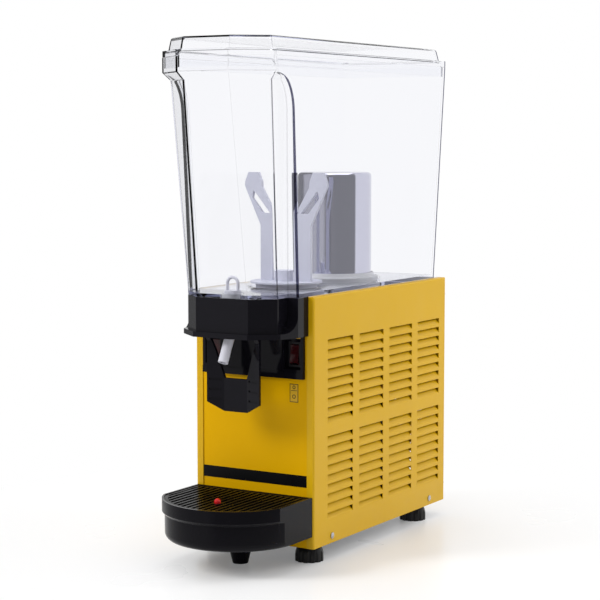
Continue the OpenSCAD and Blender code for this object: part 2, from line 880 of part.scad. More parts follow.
// Half profile with a rounded lower edge
module tray_profile(r, z0) {
    translate([0, z0]) square([r - tray_round, tray_h]);
    translate([0, z0 + tray_round]) square([r, tray_h - tray_round]);
    translate([r - tray_round, z0 + tray_round]) circle(tray_round);
}

module tray_body() {
    r = tray_r - tray_lip;
    low = tray_top - tray_band;
    intersection() {
        tray_form() {
            tray_profile(r, tray_z);
            polygon([[0, low - tray_slope], [r, low - tray_slope], [tray_r, low], [tray_r, tray_top],
                [0, tray_top]]);
        }
        box(-tray_w / 2, tray_w / 2, -tray_out - over, tray_rear, tray_z, tray_top);
    }
}

module drip_tray() {
    color(black) place() {
        difference() {
            tray_body();
            along_z(grille_z, tray_top + over) tray_outline(tray_wall);
            intersection() {
                along_z(tray_z + tray_wall, tray_top) tray_outline(tray_wall + ledge_w);
                tray_form() tray_profile(tray_r - tray_lip - tray_wall - ledge_w, tray_z + tray_wall);
            }
        }
        translate([0, leg_y, fit - foot_h])
            cylinder(h = foot_h + tray_z - fit + tray_wall / 2, r1 = tray_leg_d / 2,
                r2 = tray_leg_d / 2 + leg_taper);
        for (x = [-hook_x, hook_x]) {
            along_x(x - hook_w / 2, x + hook_w / 2) polygon([[tray_rear - over, hook_z],
                [front_back + fit, hook_z], [front_back + fit, hook_z - hook_drop],
                [front_back + fit + hook_t, hook_z - hook_drop], [front_back + fit + hook_t, hook_z + hook_t],
                [tray_rear - over, hook_z + hook_t]]);
        }
    }
}

bars = floor((tray_w / 2 - tray_wall - 6) / grille_step);
float_y = tray_mid - 43;
float_hole = float_d / 2 + 0.3;
grille_border = 5;

module drip_grille() {
    gap = tray_wall + fit;
    color(black) place() along_z(grille_z + 0.05, grille_z + grille_t) difference() {
        tray_outline(gap);
        intersection() {
            tray_outline(gap + grille_border);
            difference() {
                for (i = [-bars : bars]) {
                    translate([i * grille_step - (grille_step - bar_w) / 2, -tray_out])
                        square([grille_step - bar_w, tray_out]);
                }
                translate([0, float_y]) circle(float_hole + 3);
            }
        }
        translate([0, float_y]) circle(float_hole);
    }
}

float_disc_r = 16;
float_disc_h = 9;
float_head_h = 5;

module tray_float() {
    low = tray_z + tray_wall + 0.2;
    head = tray_top + float_head_h;
    color("#c8161c") place() translate([0, float_y, 0]) rotate_extrude() {
        translate([0, low]) square([float_disc_r, float_disc_h]);
        translate([0, low]) square([float_d / 2, head - low - float_d / 2]);
        intersection() {
            translate([0, head - float_d / 2]) circle(float_d / 2);
            translate([0, low]) square([float_d, head]);
        }
    }
}

// Corner points of the tank's outline at height z; the prow is narrower than the rest of the tank
arch_low = slope_low - 37;
arch_high = rim_low - 2;
rim_front_w = nose_front_w - 1.4;
lean_w = 0.235 * prow_lean;
function tank_share(z) = (min(z, slope_low) - tank_z) / (slope_low - tank_z);
function rim_share(z) = max(0, min(1, (z - slope_low) / rim_slope));
function wide_half(z) = lerp(tank_w / 2, tank_w / 2 + tank_flare / 2, tank_share(z));
function prow_front(z) = let (t = tank_share(z))
    lerp([nose_front_w / 2 - 0.8, -nose_out], [nose_front_w / 2 - 4.7, -nose_out - prow_lean], t)
    + rim_share(z) * [rim_front_w / 2 - nose_front_w / 2 + 4.7, -rim_out];
function prow_side(z) = let (t = tank_share(z))
    lerp([nose_side_w / 2, -nose_corner_y], [nose_side_w / 2 + lean_w, -nose_corner_y - 0.77 * prow_lean], t)
    + rim_share(z) * [wide_half(z) - 0.6 - nose_side_w / 2 - lean_w, -rim_out / 2];
function step_straight(z) = lerp(-nose_wide_y - 2, -nose_wide_y - 2 - 0.45 * prow_lean, tank_share(z));
function step_y(z) = let (a = max(0, min(1, (z - arch_low) / (arch_high - arch_low))))
    let (p = prow_side(z)[1] + 2.5)
    lerp(step_straight(z), p, 1 - sqrt(1 - a * a));
function rear_y(z) = lerp(cab_d - tank_rear_in, rim_rear, (z - tank_z) / tank_h);
function tank_half(z) = let (p = prow_side(z), s = step_y(z))
    [prow_front(z), p, [p[0] + 0.2, s], [wide_half(z), s + 0.6], [wide_half(z), rear_y(z)]];
function tank_radii(z) = let (room = step_y(z) - prow_side(z)[1], deep = wide_half(z) - prow_side(z)[0])
    let (r = max(0.3, min(5, 0.3 * room, 0.4 * deep)))
    [3, min(4, r), r, r, tank_corner];
function tank_ring(z, gap, dz = 0) = let (pts = inset(mirrored(tank_half(z)), gap))
    [for (p = rounded(pts, both(tank_radii(z)), 4)) [p[0], p[1], z + dz]];
arch_zs = [for (a = [0.3, 0.55, 0.75, 0.9, 0.97]) lerp(arch_low, arch_high, a)];
floor_edge = 0.6;
wall_zs = concat([tank_z + floor_edge, arch_low], arch_zs, [rim_low, rim_z]);
seat_top = floor_z + 4;

module tank() {
    last = len(wall_zs) - 1;
    color(clear) place() {
        wall_skin(concat([for (z = wall_zs) tank_ring(z, 0)],
            [for (i = [last : -1 : 0]) tank_ring(wall_zs[i], tank_wall)]));
        difference() {
            union() {
                along_z(tank_z, floor_z) polygon([for (p = tank_ring(tank_z, floor_edge / 2)) [p[0], p[1]]]);
                rod_z(0, stir_y, well_z - well_wall, floor_z - over, well_r + well_wall);
                rod_z(0, cyl_y, floor_z - over, seat_top, seat_r + seat_wall);
            }
            rod_z(0, stir_y, well_z, floor_z + over, well_r);
            rod_z(0, cyl_y, tank_z - over, seat_top + over, seat_r);
            rod_z(0, -tap_y, tank_z - over, floor_z + over, gasket_r + fit);
        }
    }
}

module tank_lid() {
    skirt_gap = tank_wall + 0.5;
    color(clear) place() difference() {
        union() {
            skin([tank_ring(rim_z, 0, fit), tank_ring(rim_z, 0, fit + lid_edge)]);
            skin([tank_ring(rim_z - skirt_h, skirt_gap, fit), tank_ring(rim_z, skirt_gap, fit + over)]);
            skin([tank_ring(rim_z, lid_in, fit + lid_edge - over), tank_ring(rim_z, lid_in, fit + lid_edge),
                tank_ring(rim_z, lid_in + 2.5, fit + lid_edge + lid_rise - 2),
                tank_ring(rim_z, lid_in + 4.5, fit + lid_edge + lid_rise)]);
        }
        skin([tank_ring(rim_z - skirt_h, skirt_gap + lid_t, fit - over),
            tank_ring(rim_z, skirt_gap + lid_t, fit + lid_edge - lid_t - over),
            tank_ring(rim_z, lid_in + lid_t, fit + lid_edge - lid_t),
            tank_ring(rim_z, lid_in + lid_t + 2.5, fit + lid_edge + lid_rise - lid_t)]);
    }
}

cyl_r = cyl_d / 2;
can_foot_t = 1.2;

module evaporator_can() {
    color(steel) place() translate([0, cyl_y, 0]) rotate_extrude() difference() {
        union() {
            round_top(cyl_r, cab_h, cab_h + cyl_h, cyl_round);
            translate([0, cab_h]) square([seal_d / 2 - 3, can_foot_t]);
        }
        translate([0, cab_h - over]) round_top(cyl_r - cyl_t, 0, cyl_h + over - cyl_t, cyl_round - cyl_t);
    }
}

module evaporator_seal() {
    low = cab_h + can_foot_t;
    r = cyl_r + 0.05;
    color("#cfcfd6") place() translate([0, cyl_y, 0]) rotate_extrude() polygon([[r, low], [seal_d / 2, low],
        [seal_d / 2, seat_top + 1], [cyl_r + 5, cab_h + seal_h - 4], [cyl_r + 2.5, cab_h + seal_h],
        [r, cab_h + seal_h]]);
}

coil_r = cyl_r - cyl_t - 0.5 - coil_tube / 2;
coil_z = cab_h + seal_h;
coil_pitch = (cyl_h - seal_h - 22) / coil_turns;
coil_steps = 12;
coil_sides = 6;
echo(coil_gap = helix_gap(coil_r, coil_tube / 2, coil_pitch, coil_steps));

module evaporator_coil() {
    color(copper) place() translate([0, cyl_y, coil_z]) rotate([0, 0, 180])
        spiral(coil_r, coil_tube / 2, coil_pitch, coil_turns, coil_steps, coil_sides);
}

hub_r = 13;
ring_in = 22;
disc_over = 7;
ring_out = disc_d / 2 - disc_over;
under_z = well_z + 2;
disc_z = disc_top - disc_t;
hub_top = disc_top + 14;
magnet_r = (ring_in + ring_out) / 2;
magnet_h = 7;
magnets = 6;
pin_top = hub_top - 5;

// One arm, as its outline in width and height; the head is slotted and leans outward
module arm_outline() {
    top = disc_top + arm_h;
    bend = disc_top + 0.51 * arm_h;
    out = arm_in + arm_w;
    difference() {
        polygon([[arm_in, disc_top - 0.5], [out, disc_top - 0.5], [out, bend], [stir_reach, top - 18],
            [stir_reach - 0.5, top - 12], [stir_reach - 5.5, top], [stir_reach - 21, top],
            [stir_reach - 26, top - 12], [stir_reach - 26.5, top - 20], [arm_in + 1, bend + 24],
            [arm_in, bend + 18]]);
        polygon([[out - 15, bend + 16], [out - 3.5, bend + 16], [stir_reach - 11.5, top - 34],
            [stir_reach - 13.5, top - 25], [stir_reach - 16, top - 26]]);
    }
}

module stirrer_paddle() {
    color(white) place() translate([0, stir_y, 0]) difference() {
        union() {
            rod_z(0, 0, disc_z, disc_top, disc_d / 2);
            rod_z(0, 0, under_z, hub_top, hub_r);
            difference() {
                rod_z(0, 0, under_z, disc_z + 0.5, ring_out);
                rod_z(0, 0, under_z - over, disc_z, ring_in);
            }
            for (side = [0, 180]) {
                rotate([0, 0, side]) along_y(-arm_t / 2, arm_t / 2) arm_outline();
            }
        }
        rod_z(0, 0, under_z - over, hub_top - 4, stir_pin_d / 2 + run);
        for (i = [0 : magnets - 1]) {
            rotate([0, 0, i * 360 / magnets])
                rod_z(magnet_r, 0, under_z - over, under_z + magnet_h + run, magnet_d / 2 + run);
        }
    }
}

module stirrer_pin() {
    color(steel) place() rod_z(0, stir_y, well_z, pin_top, stir_pin_d / 2);
}

module stirrer_magnets() {
    color("#3a3a3e") place() translate([0, stir_y, 0]) for (i = [0 : magnets - 1]) {
        rotate([0, 0, i * 360 / magnets]) rod_z(magnet_r, 0, under_z + 0.2, under_z + magnet_h, magnet_d / 2);
    }
}

rotor_top = well_z - well_wall - 2;
rotor_t = 9;
rotor_low = rotor_top - rotor_t;
shaft_d = 8;
bracket_z = rotor_low - 9;
bracket_t = 2;
motor_h = 46;

module drive_rotor() {
    color("#8d9298") place() translate([0, stir_y, 0]) {
        rod_z(0, 0, rotor_low, rotor_top, ring_out);
        rod_z(0, 0, bracket_z - 22, rotor_low + over, shaft_d / 2);
    }
}

module gear_motor() {
    color("#6f747a") place() translate([0, stir_y, 0]) difference() {
        union() {
            rod_z(0, 0, bracket_z - motor_h, bracket_z, gear_motor_d / 2);
            rod_z(0, 0, bracket_z - over, bracket_z + bracket_t + 3, 11);
            rod_z(0, 0, bracket_z - motor_h - 12, bracket_z - motor_h + over, 8);
        }
        rod_z(0, 0, bracket_z - 26, bracket_z + 10, shaft_d / 2 + run);
    }
}

bracket_half = well_r + well_wall + 9;
bracket_w = 40;
tab_w = 10;

module motor_bracket() {
    color(zinc) place() translate([0, stir_y, 0]) difference() {
        along_y(-bracket_w / 2, bracket_w / 2) {
            translate([-bracket_half, bracket_z]) square([2 * bracket_half, bracket_t]);
            for (x = [-1, 1]) {
                translate([x * bracket_half - bracket_t / 2, bracket_z])
                    square([bracket_t, deck_low - bracket_z]);
                translate([x * (bracket_half + tab_w / 2 - bracket_t / 2) - tab_w / 2, deck_low - bracket_t])
                    square([tab_w, bracket_t]);
            }
        }
        rod_z(0, 0, bracket_z - over, bracket_z + 10, 11 + fit);
    }
}

chamber_r = chamber_d / 2;
branch_z = nose_top - 34.5;
chamber_low = branch_z - 5;
chamber_top = floor_z + 0.5;
slot_w = 5;
bar_r = 2;
bar_z = nose_top - 20.5;
plunger_lift = pivot_out * lever_swing * PI / 180;
shoulder_r = chamber_r + tap_wall + 6;
gasket_r = chamber_r + tap_wall + 3;
ceiling = nose_top - nose_top_t;

module spout() {
    color(white) place() translate([0, -tap_y, 0]) difference() {
        union() {
            rod_z(0, 0, chamber_low, chamber_top, chamber_r + tap_wall);
            rod_z(0, 0, ceiling - 3, ceiling, shoulder_r);
            translate([0, 0, branch_z]) rotate([180 - nozzle_slant, 0, 0])
                cylinder(h = nozzle_len, r = nozzle_d / 2);
        }
        rod_z(0, 0, branch_z - 2, chamber_top + over, chamber_r);
        translate([0, 0, branch_z]) rotate([180 - nozzle_slant, 0, 0])
            cylinder(h = nozzle_len + over, r = nozzle_bore / 2);
        box(-cab_w, cab_w, -slot_w / 2, slot_w / 2, bar_z - bar_r - 0.5, bar_z + bar_r + plunger_lift + 0.5);
    }
}

module spout_gasket() {
    color("#d9d9de") place() difference() {
        rod_z(0, -tap_y, nose_top + 0.05, floor_z - 0.3, gasket_r);
        rod_z(0, -tap_y, nose_top - over, floor_z + over, chamber_r + tap_wall + 0.05);
    }
}

plug_low = nose_top - 9;
plug_top = chamber_top + 0.5;
seal_low = plug_low + 4;
seal_t = 3;
stem_r = 3;
leg_x = (loop_w - loop_rod) / 2;

module tap_plunger() {
    arch_z = floor_z + loop_h - loop_w / 2;
    color(white) place() translate([0, -tap_y, 0]) difference() {
        union() {
            rod_z(0, 0, plug_low, plug_top, chamber_r - 0.4);
            rod_z(0, 0, plug_top - 0.2, plug_top + 2.5, loop_w / 2 + 0.6);
            rod_z(0, 0, bar_z - bar_r - 1.5, plug_low + over, stem_r);
            for (x = [-leg_x, leg_x]) {
                rod_z(x, 0, plug_top + 2, arch_z, loop_rod / 2);
            }
            translate([0, 0, arch_z]) rotate([90, 0, 0]) rotate_extrude(angle = 180) translate([leg_x, 0])
                circle(loop_rod / 2);
        }
        difference() {
            rod_z(0, 0, seal_low, seal_low + seal_t, chamber_r);
            rod_z(0, 0, seal_low - over, seal_low + seal_t + over, chamber_r - 1.6);
        }
        rod_x(-cab_w, cab_w, 0, bar_z, bar_r + run / 2);
    }
}

module plunger_seal() {
    color("#b9b9bf") place() translate([0, -tap_y, 0]) difference() {
        rod_z(0, 0, seal_low + 0.05, seal_low + seal_t - 0.05, chamber_r - run);
        rod_z(0, 0, seal_low - over, seal_low + seal_t + over, chamber_r - 1.55);
    }
}

bar_half = chamber_r + tap_wall + 5;

module plunger_cross_pin() {
    color(steel) place() rod_x(-bar_half, bar_half, -tap_y, bar_z, bar_r);
}

leg_w = 6;
leg_top = nose_z - 1;
pad_point = 11.5;
finger_top = bar_z - bar_r - 0.5;
finger_in = chamber_r + tap_wall + 1.5;
boss_r = 5;
finger_w = 6;
finger_t = 4;
groove_h = 2.6;
groove_step = 12.6;
groove_low = 14;
groove_deep = 1.2;
groove_end = 3;

// Plan of the lever: a middle facet with two side facets that come forward
module lever_plan() {
    p = pad_w / 2;
    w = lever_w / 2;
    polygon([[-w, -pad_y - pad_dish], [-p, -pad_y], [p, -pad_y], [w, -pad_y - pad_dish],
        [w, -pad_y - pad_dish + lever_t], [p, -pad_y + lever_t], [-p, -pad_y + lever_t],
        [-w, -pad_y - pad_dish + lever_t]]);
}

// Plan of the grooves pressed into the side facets
module lever_grooves() {
    w = lever_w / 2 - pad_w / 2 - 2 * groove_end;
    intersection() {
        translate([0, groove_deep - lever_t]) lever_plan();
        for (x = [-lever_w / 2 + groove_end, pad_w / 2 + groove_end]) {
            translate([x, -2 * pad_y]) square([w, 2 * pad_y]);
        }
    }
}

// Front of the lever: pointed lower edge, upright sides and a window that widens upward
module lever_front() {
    p = pad_w / 2;
    w = lever_w / 2;
    difference() {
        polygon([[-w, lever_z + pad_point], [-p, lever_z], [p, lever_z], [w, lever_z + pad_point],
            [w, leg_top], [-w, leg_top]]);
        polygon([[-p + 0.6, lever_z + pad_h], [p - 0.6, lever_z + pad_h], [w - leg_w - 5, leg_top - 18],
            [w - leg_w, leg_top - 6], [w - leg_w, leg_top + over], [-w + leg_w, leg_top + over],
            [-w + leg_w, leg_top - 6], [-w + leg_w + 5, leg_top - 18]]);
    }
}

module tap_lever() {
    w = lever_w / 2;
    front = -pad_y - pad_dish;
    color(black) place() difference() {
        union() {
            intersection() {
                along_z(lever_z, leg_top) lever_plan();
                along_y(-2 * pad_y, 0) lever_front();
            }
            for (x = [-w, w - leg_w]) {
                along_x(x, x + leg_w) {
                    polygon([[front, leg_top - 6], [front + lever_t, leg_top - 6],
                        [front + lever_t + 2, finger_top], [pivot_y + 4, pivot_z + boss_r],
                        [pivot_y, pivot_z + boss_r], [pivot_y, pivot_z - boss_r]]);
                    translate([pivot_y, pivot_z]) circle(boss_r);
                }
            }
            for (x = [-w + leg_w - over, finger_in]) {
                box(x, x + w - leg_w - finger_in + over, -tap_y - finger_w / 2, -tap_y + finger_w / 2,
                    finger_top - finger_t, finger_top);
            }
        }
        rod_x(-cab_w, cab_w, pivot_y, pivot_z, pin_d / 2 + run);
        for (i = [0 : 2]) {
            z = lever_z + groove_low + i * groove_step;
            along_z(z, z + groove_h) lever_grooves();
        }
    }
}

module lever_pin() {
    color(steel) place() rod_x(-ear_x - ear_t, ear_x + ear_t, pivot_y, pivot_z, pin_d / 2);
}

spring_r = 3.8;
spring_wire = 0.6;
spring_turns = 6;
spring_x = bar_half + 7;
spring_span = ceiling - finger_top - 2 * spring_wire - 0.2;
echo(spring_gap = helix_gap(spring_r, spring_wire, spring_span / spring_turns, 12));

module lever_springs() {
    color(steel) place() for (x = [-spring_x, spring_x]) {
        translate([x, -tap_y, finger_top + spring_wire + 0.1])
            spiral(spring_r, spring_wire, spring_span / spring_turns, spring_turns, 12, 6);
    }
}

comp_plate_z = sheet + grommet_h;
comp_plate_t = 3;
plate_edge = 10;
comp_z = comp_plate_z + comp_plate_t;
comp_r = comp_d / 2;
comp_round = 26;
stub_x = 25;
stub_top = comp_z + comp_h + 12;

module compressor() {
    color("#202225") place() translate([0, comp_y, 0]) {
        rotate_extrude() {
            round_top(comp_r, comp_z, comp_z + comp_h, comp_round);
        }
        difference() {
            box(-comp_foot_x - plate_edge, comp_foot_x + plate_edge, -comp_foot_y - plate_edge,
                comp_foot_y + plate_edge, comp_plate_z, comp_z);
            for (p = comp_feet) {
                rod_z(p[0], p[1] - comp_y, comp_plate_z - over, comp_z + over, bolt_r + run);
            }
        }
        for (x = [-stub_x, stub_x]) {
            rod_z(x, 0, comp_z + comp_h - 20, stub_top, pipe_d / 2);
        }
    }
}

module compressor_grommets() {
    color("#2b2b2b") place() for (p = comp_feet) {
        translate([p[0], p[1], 0]) {
            rod_z(0, 0, sheet, comp_plate_z, grommet_r);
            rod_z(0, 0, 0.1, comp_z + 5, bolt_r);
        }
    }
}

relay_w = 48;
relay_out = 22;
relay_deep = 17;
relay_low = 30;
relay_h = 54;

module relay_box() {
    front = comp_y - comp_r;
    color("#26282b") place() difference() {
        box(-relay_w / 2, relay_w / 2, front - relay_out, front + relay_deep, comp_z + relay_low,
            comp_z + relay_low + relay_h);
        rod_z(0, comp_y, 0, cab_h, comp_r + 0.1);
    }
}

cond_y = 34;
cond_z = 22;
fins = 20;
fin_t = 1;
cond_rows = 4;
cond_tube_r = pipe_d / 2;
cond_mid = cond_y + cond_d / 2;
cond_w = cab_w - 2 * cond_in;
cond_end = cond_w / 2 + 4;
cond_zs = [for (i = [0 : cond_rows - 1]) cond_z + cond_h * (i + 0.5) / cond_rows];
port_x = cond_end + 5;

module condenser() {
    color("#9aa0a6") place() {
        for (i = [0 : fins - 1]) {
            x = lerp(-cond_w / 2, cond_w / 2 - fin_t, i / (fins - 1));
            box(x, x + fin_t, cond_y, cond_y + cond_d, cond_z, cond_z + cond_h);
        }
        for (x = [-cond_end, cond_end - 2]) {
            box(x, x + 2, cond_y - 4, cond_y + cond_d, sheet, cond_z + cond_h);
        }
        for (z = cond_zs) {
            rod_x(-cond_end - 2, cond_end + 2, cond_mid, z, cond_tube_r);
        }
        for (i = [0 : cond_rows - 2]) {
            side = i % 2 == 0 ? -1 : 1;
            translate([side * (cond_end + 2), cond_mid, cond_zs[i]]) sphere(cond_tube_r);
            translate([side * (cond_end + 2), cond_mid, cond_zs[i + 1]]) sphere(cond_tube_r);
            rod_z(side * (cond_end + 2), cond_mid, cond_zs[i], cond_zs[i + 1], cond_tube_r);
        }
        rod_x(cond_end, port_x, cond_mid, cond_zs[0], cond_tube_r);
        rod_x(-port_x, -cond_end, cond_mid, cond_zs[cond_rows - 1], cond_tube_r);
    }
}

shroud_t = 2;
shroud_y = cond_y + cond_d;
fan_z = cond_z + cond_h / 2;
fan_y = shroud_y + 22;
fan_depth = 14;
motor_y = fan_y + fan_depth / 2 + 4;
fan_motor_len = 40;
fan_shaft_r = 3;
fan_shaft_in = 22;
stand_w = 28;
stand_foot = 60;
stand_t = 3;

module fan_shroud() {
    color("#b0b4b8") place() difference() {
        union() {
            box(-cond_end, cond_end, shroud_y, shroud_y + shroud_t, cond_z - 2, cond_z + cond_h);
            rod_y(0, shroud_y, shroud_y + 14, fan_z, fan_d / 2 + 5);
        }
        rod_y(0, shroud_y - over, shroud_y + 20, fan_z, fan_d / 2 + 3);
    }
}

module fan_motor() {
    color("#55585c") place() difference() {
        union() {
            rod_y(0, motor_y, motor_y + fan_motor_len, fan_z, fan_motor_d / 2);
            box(-stand_w / 2, stand_w / 2, motor_y + 6, motor_y + fan_motor_len - 6, sheet + stand_t, fan_z);
            box(-stand_foot / 2, stand_foot / 2, motor_y + 2, motor_y + fan_motor_len - 2,
                sheet, sheet + stand_t);
        }
        rod_y(0, motor_y - over, motor_y + fan_shaft_in + 4, fan_z, fan_shaft_r + run);
    }
}

blades = 5;
blade_pitch = 32;
blade_w = 32;
blade_t = 1.6;
hub_fan_r = 14;

module fan_blade() {
    color("#c9ccd0") place() translate([0, fan_y, fan_z]) {
        rod_y(0, -fan_depth / 2, fan_depth / 2, 0, hub_fan_r);
        rod_y(0, 0, motor_y - fan_y + fan_shaft_in, 0, fan_shaft_r);
        intersection() {
            rod_y(0, -fan_depth / 2, fan_depth / 2, 0, fan_d / 2);
            for (i = [0 : blades - 1]) {
                rotate([0, i * 360 / blades, 0]) rotate([0, 0, blade_pitch])
                    box(-blade_w / 2, blade_w / 2, -blade_t / 2, blade_t / 2, hub_fan_r - 3, fan_d / 2 + 6);
            }
        }
    }
}

drier_x = 20 - half_w;
drier_y = cyl_y - 20;
drier_r = 10;
drier_z = 70;
drier_len = 100;
pipe_r = pipe_d / 2;
low_pipe_z = 60;
cold_z = 40;

module filter_drier() {
    color(copper) place() translate([drier_x, drier_y, 0]) {
        rod_z(0, 0, drier_z, drier_z + drier_len, drier_r);
        rod_z(0, 0, low_pipe_z, drier_z + over, pipe_r);
        rod_z(0, 0, drier_z + drier_len - over, drier_z + drier_len + 10, pipe_r);
    }
}

over_pipe_z = cond_z + cond_h + 14;
hot_x = port_x + 1;

module discharge_tube() {
    color(copper) place() pipe([[stub_x, comp_y, stub_top], [stub_x, comp_y, stub_top + 12],
        [hot_x, comp_y, stub_top + 12], [hot_x, cond_mid + 50, stub_top + 12],
        [hot_x + 4, cond_mid, over_pipe_z], [hot_x + 4, cond_mid, cond_zs[0]],
        [port_x, cond_mid, cond_zs[0]]], pipe_r);
}

module liquid_tube() {
    z = cond_zs[cond_rows - 1];
    x = -port_x - 4;
    color(copper) place() pipe([[-port_x, cond_mid, z], [x, cond_mid, z], [x, cond_mid + 36, cold_z],
        [x, drier_y, cold_z], [drier_x, drier_y, cold_z], [drier_x, drier_y, low_pipe_z]], pipe_r);
}

cap_r = 1.5;
cross_z = deck_low - foam_h - 12;

module capillary_tube() {
    color(copper) place() pipe([[drier_x, drier_y, drier_z + drier_len + 10], [drier_x, drier_y, cross_z],
        [-tube_x, drier_y, cross_z], [-tube_x, cyl_y, cross_z], [-tube_x, cyl_y, coil_z],
        [-coil_r + coil_tube / 2 + 1, cyl_y, coil_z]], cap_r);
}

coil_top = coil_z + coil_pitch * coil_turns;

module suction_tube() {
    color(copper) place() pipe([[coil_r - coil_tube / 2 - 1, cyl_y, coil_top], [tube_x, cyl_y, coil_top],
        [tube_x, cyl_y, cross_z], [tube_x, comp_y - 30, cross_z], [-stub_x, comp_y - 30, cross_z - 20],
        [-stub_x, comp_y, cross_z - 30], [-stub_x, comp_y, stub_top]], pipe_r);
}

module thermostat() {
    color("#d6d6d0") place() difference() {
        box(knob_x - 17, knob_x + 17, rear_front - 34, rear_front, knob_z - 17, knob_z + 17);
        rod_y(knob_x, rear_front - 22, rear_front + over, knob_z, knob_r + run);
    }
}

module thermostat_spindle() {
    color(white) place() difference() {
        rod_y(knob_x, rear_front - 20, cab_d + 1.5, knob_z, knob_r);
        box(knob_x - knob_r, knob_x + knob_r, cab_d, cab_d + 3, knob_z - 0.6, knob_z + 0.6);
    }
}

module cable_gland() {
    color(black) place() difference() {
        union() {
            rod_y(gland_x, rear_front + sheet, cab_d + 2.5, gland_z, gland_r + gland_lip + 1);
            rod_y(gland_x, rear_front - 8, rear_front + sheet + over, gland_z, gland_r);
            rod_y(gland_x, rear_front - 3, rear_front, gland_z, gland_r + gland_lip);
        }
        rod_y(gland_x, rear_front - 10, cab_d + 5, gland_z, gland_bore / 2);
    }
}

base_pan();
front_panel();
side_panel_left();
side_panel_right();
rear_panel();
top_deck();
deck_insulation();
nose_collar();
control_fascia();
switch_body_left();
switch_body_right();
rocker_left();
rocker_right();
label_strip();
pictogram_sticker();
drip_tray();
drip_grille();
tray_float();
foot_front_left();
foot_front_right();
foot_rear_left();
foot_rear_right();
side_screws();
rear_screws();
tank();
tank_lid();
evaporator_can();
evaporator_seal();
evaporator_coil();
stirrer_paddle();
stirrer_pin();
stirrer_magnets();
drive_rotor();
gear_motor();
motor_bracket();
spout();
spout_gasket();
tap_plunger();
plunger_seal();
plunger_cross_pin();
tap_lever();
lever_pin();
lever_springs();
compressor();
compressor_grommets();
relay_box();
condenser();
fan_shroud();
fan_motor();
fan_blade();
filter_drier();
discharge_tube();
liquid_tube();
capillary_tube();
suction_tube();
thermostat();
thermostat_spindle();
cable_gland();
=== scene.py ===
import math

import bmesh
import bpy
from mathutils import Matrix, Vector


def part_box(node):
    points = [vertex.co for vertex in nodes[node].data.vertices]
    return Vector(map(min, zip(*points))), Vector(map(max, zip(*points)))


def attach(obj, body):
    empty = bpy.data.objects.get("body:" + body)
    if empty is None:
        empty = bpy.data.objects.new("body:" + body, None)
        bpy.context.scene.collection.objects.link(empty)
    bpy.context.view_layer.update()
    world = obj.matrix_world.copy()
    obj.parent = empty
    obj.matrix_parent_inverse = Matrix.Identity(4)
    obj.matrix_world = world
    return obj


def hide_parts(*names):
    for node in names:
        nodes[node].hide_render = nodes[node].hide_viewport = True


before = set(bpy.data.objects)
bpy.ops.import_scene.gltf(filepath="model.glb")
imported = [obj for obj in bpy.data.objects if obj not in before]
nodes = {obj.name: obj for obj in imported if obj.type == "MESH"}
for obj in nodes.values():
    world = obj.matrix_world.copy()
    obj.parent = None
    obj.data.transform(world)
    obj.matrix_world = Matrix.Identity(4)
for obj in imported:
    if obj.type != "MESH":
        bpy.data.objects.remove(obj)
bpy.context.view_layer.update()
scene = bpy.context.scene
scene.view_settings.view_transform = "Standard"

# Sizes in millimetres, with Y = 0 at the cabinet's front face and Z = 0 at its underside
MID_Y = 120.0
FOOT_H = 21.0
CAB_H = 323.0


def place(x, y, z):
    """A point of the cabinet in the shared frame, in metres."""
    return Vector((x, y - MID_Y, z + FOOT_H)) / 1000


# Materials

def srgb(r, g, b):
    def line(c):
        c /= 255
        return c / 12.92 if c <= 0.04045 else ((c + 0.055) / 1.055) ** 2.4
    return (line(r), line(g), line(b), 1.0)


def feed(tree, socket, value):
    """Links another node's output to a socket, or sets the socket to a constant."""
    if isinstance(value, bpy.types.NodeSocket):
        tree.links.new(value, socket)
    else:
        socket.default_value = value


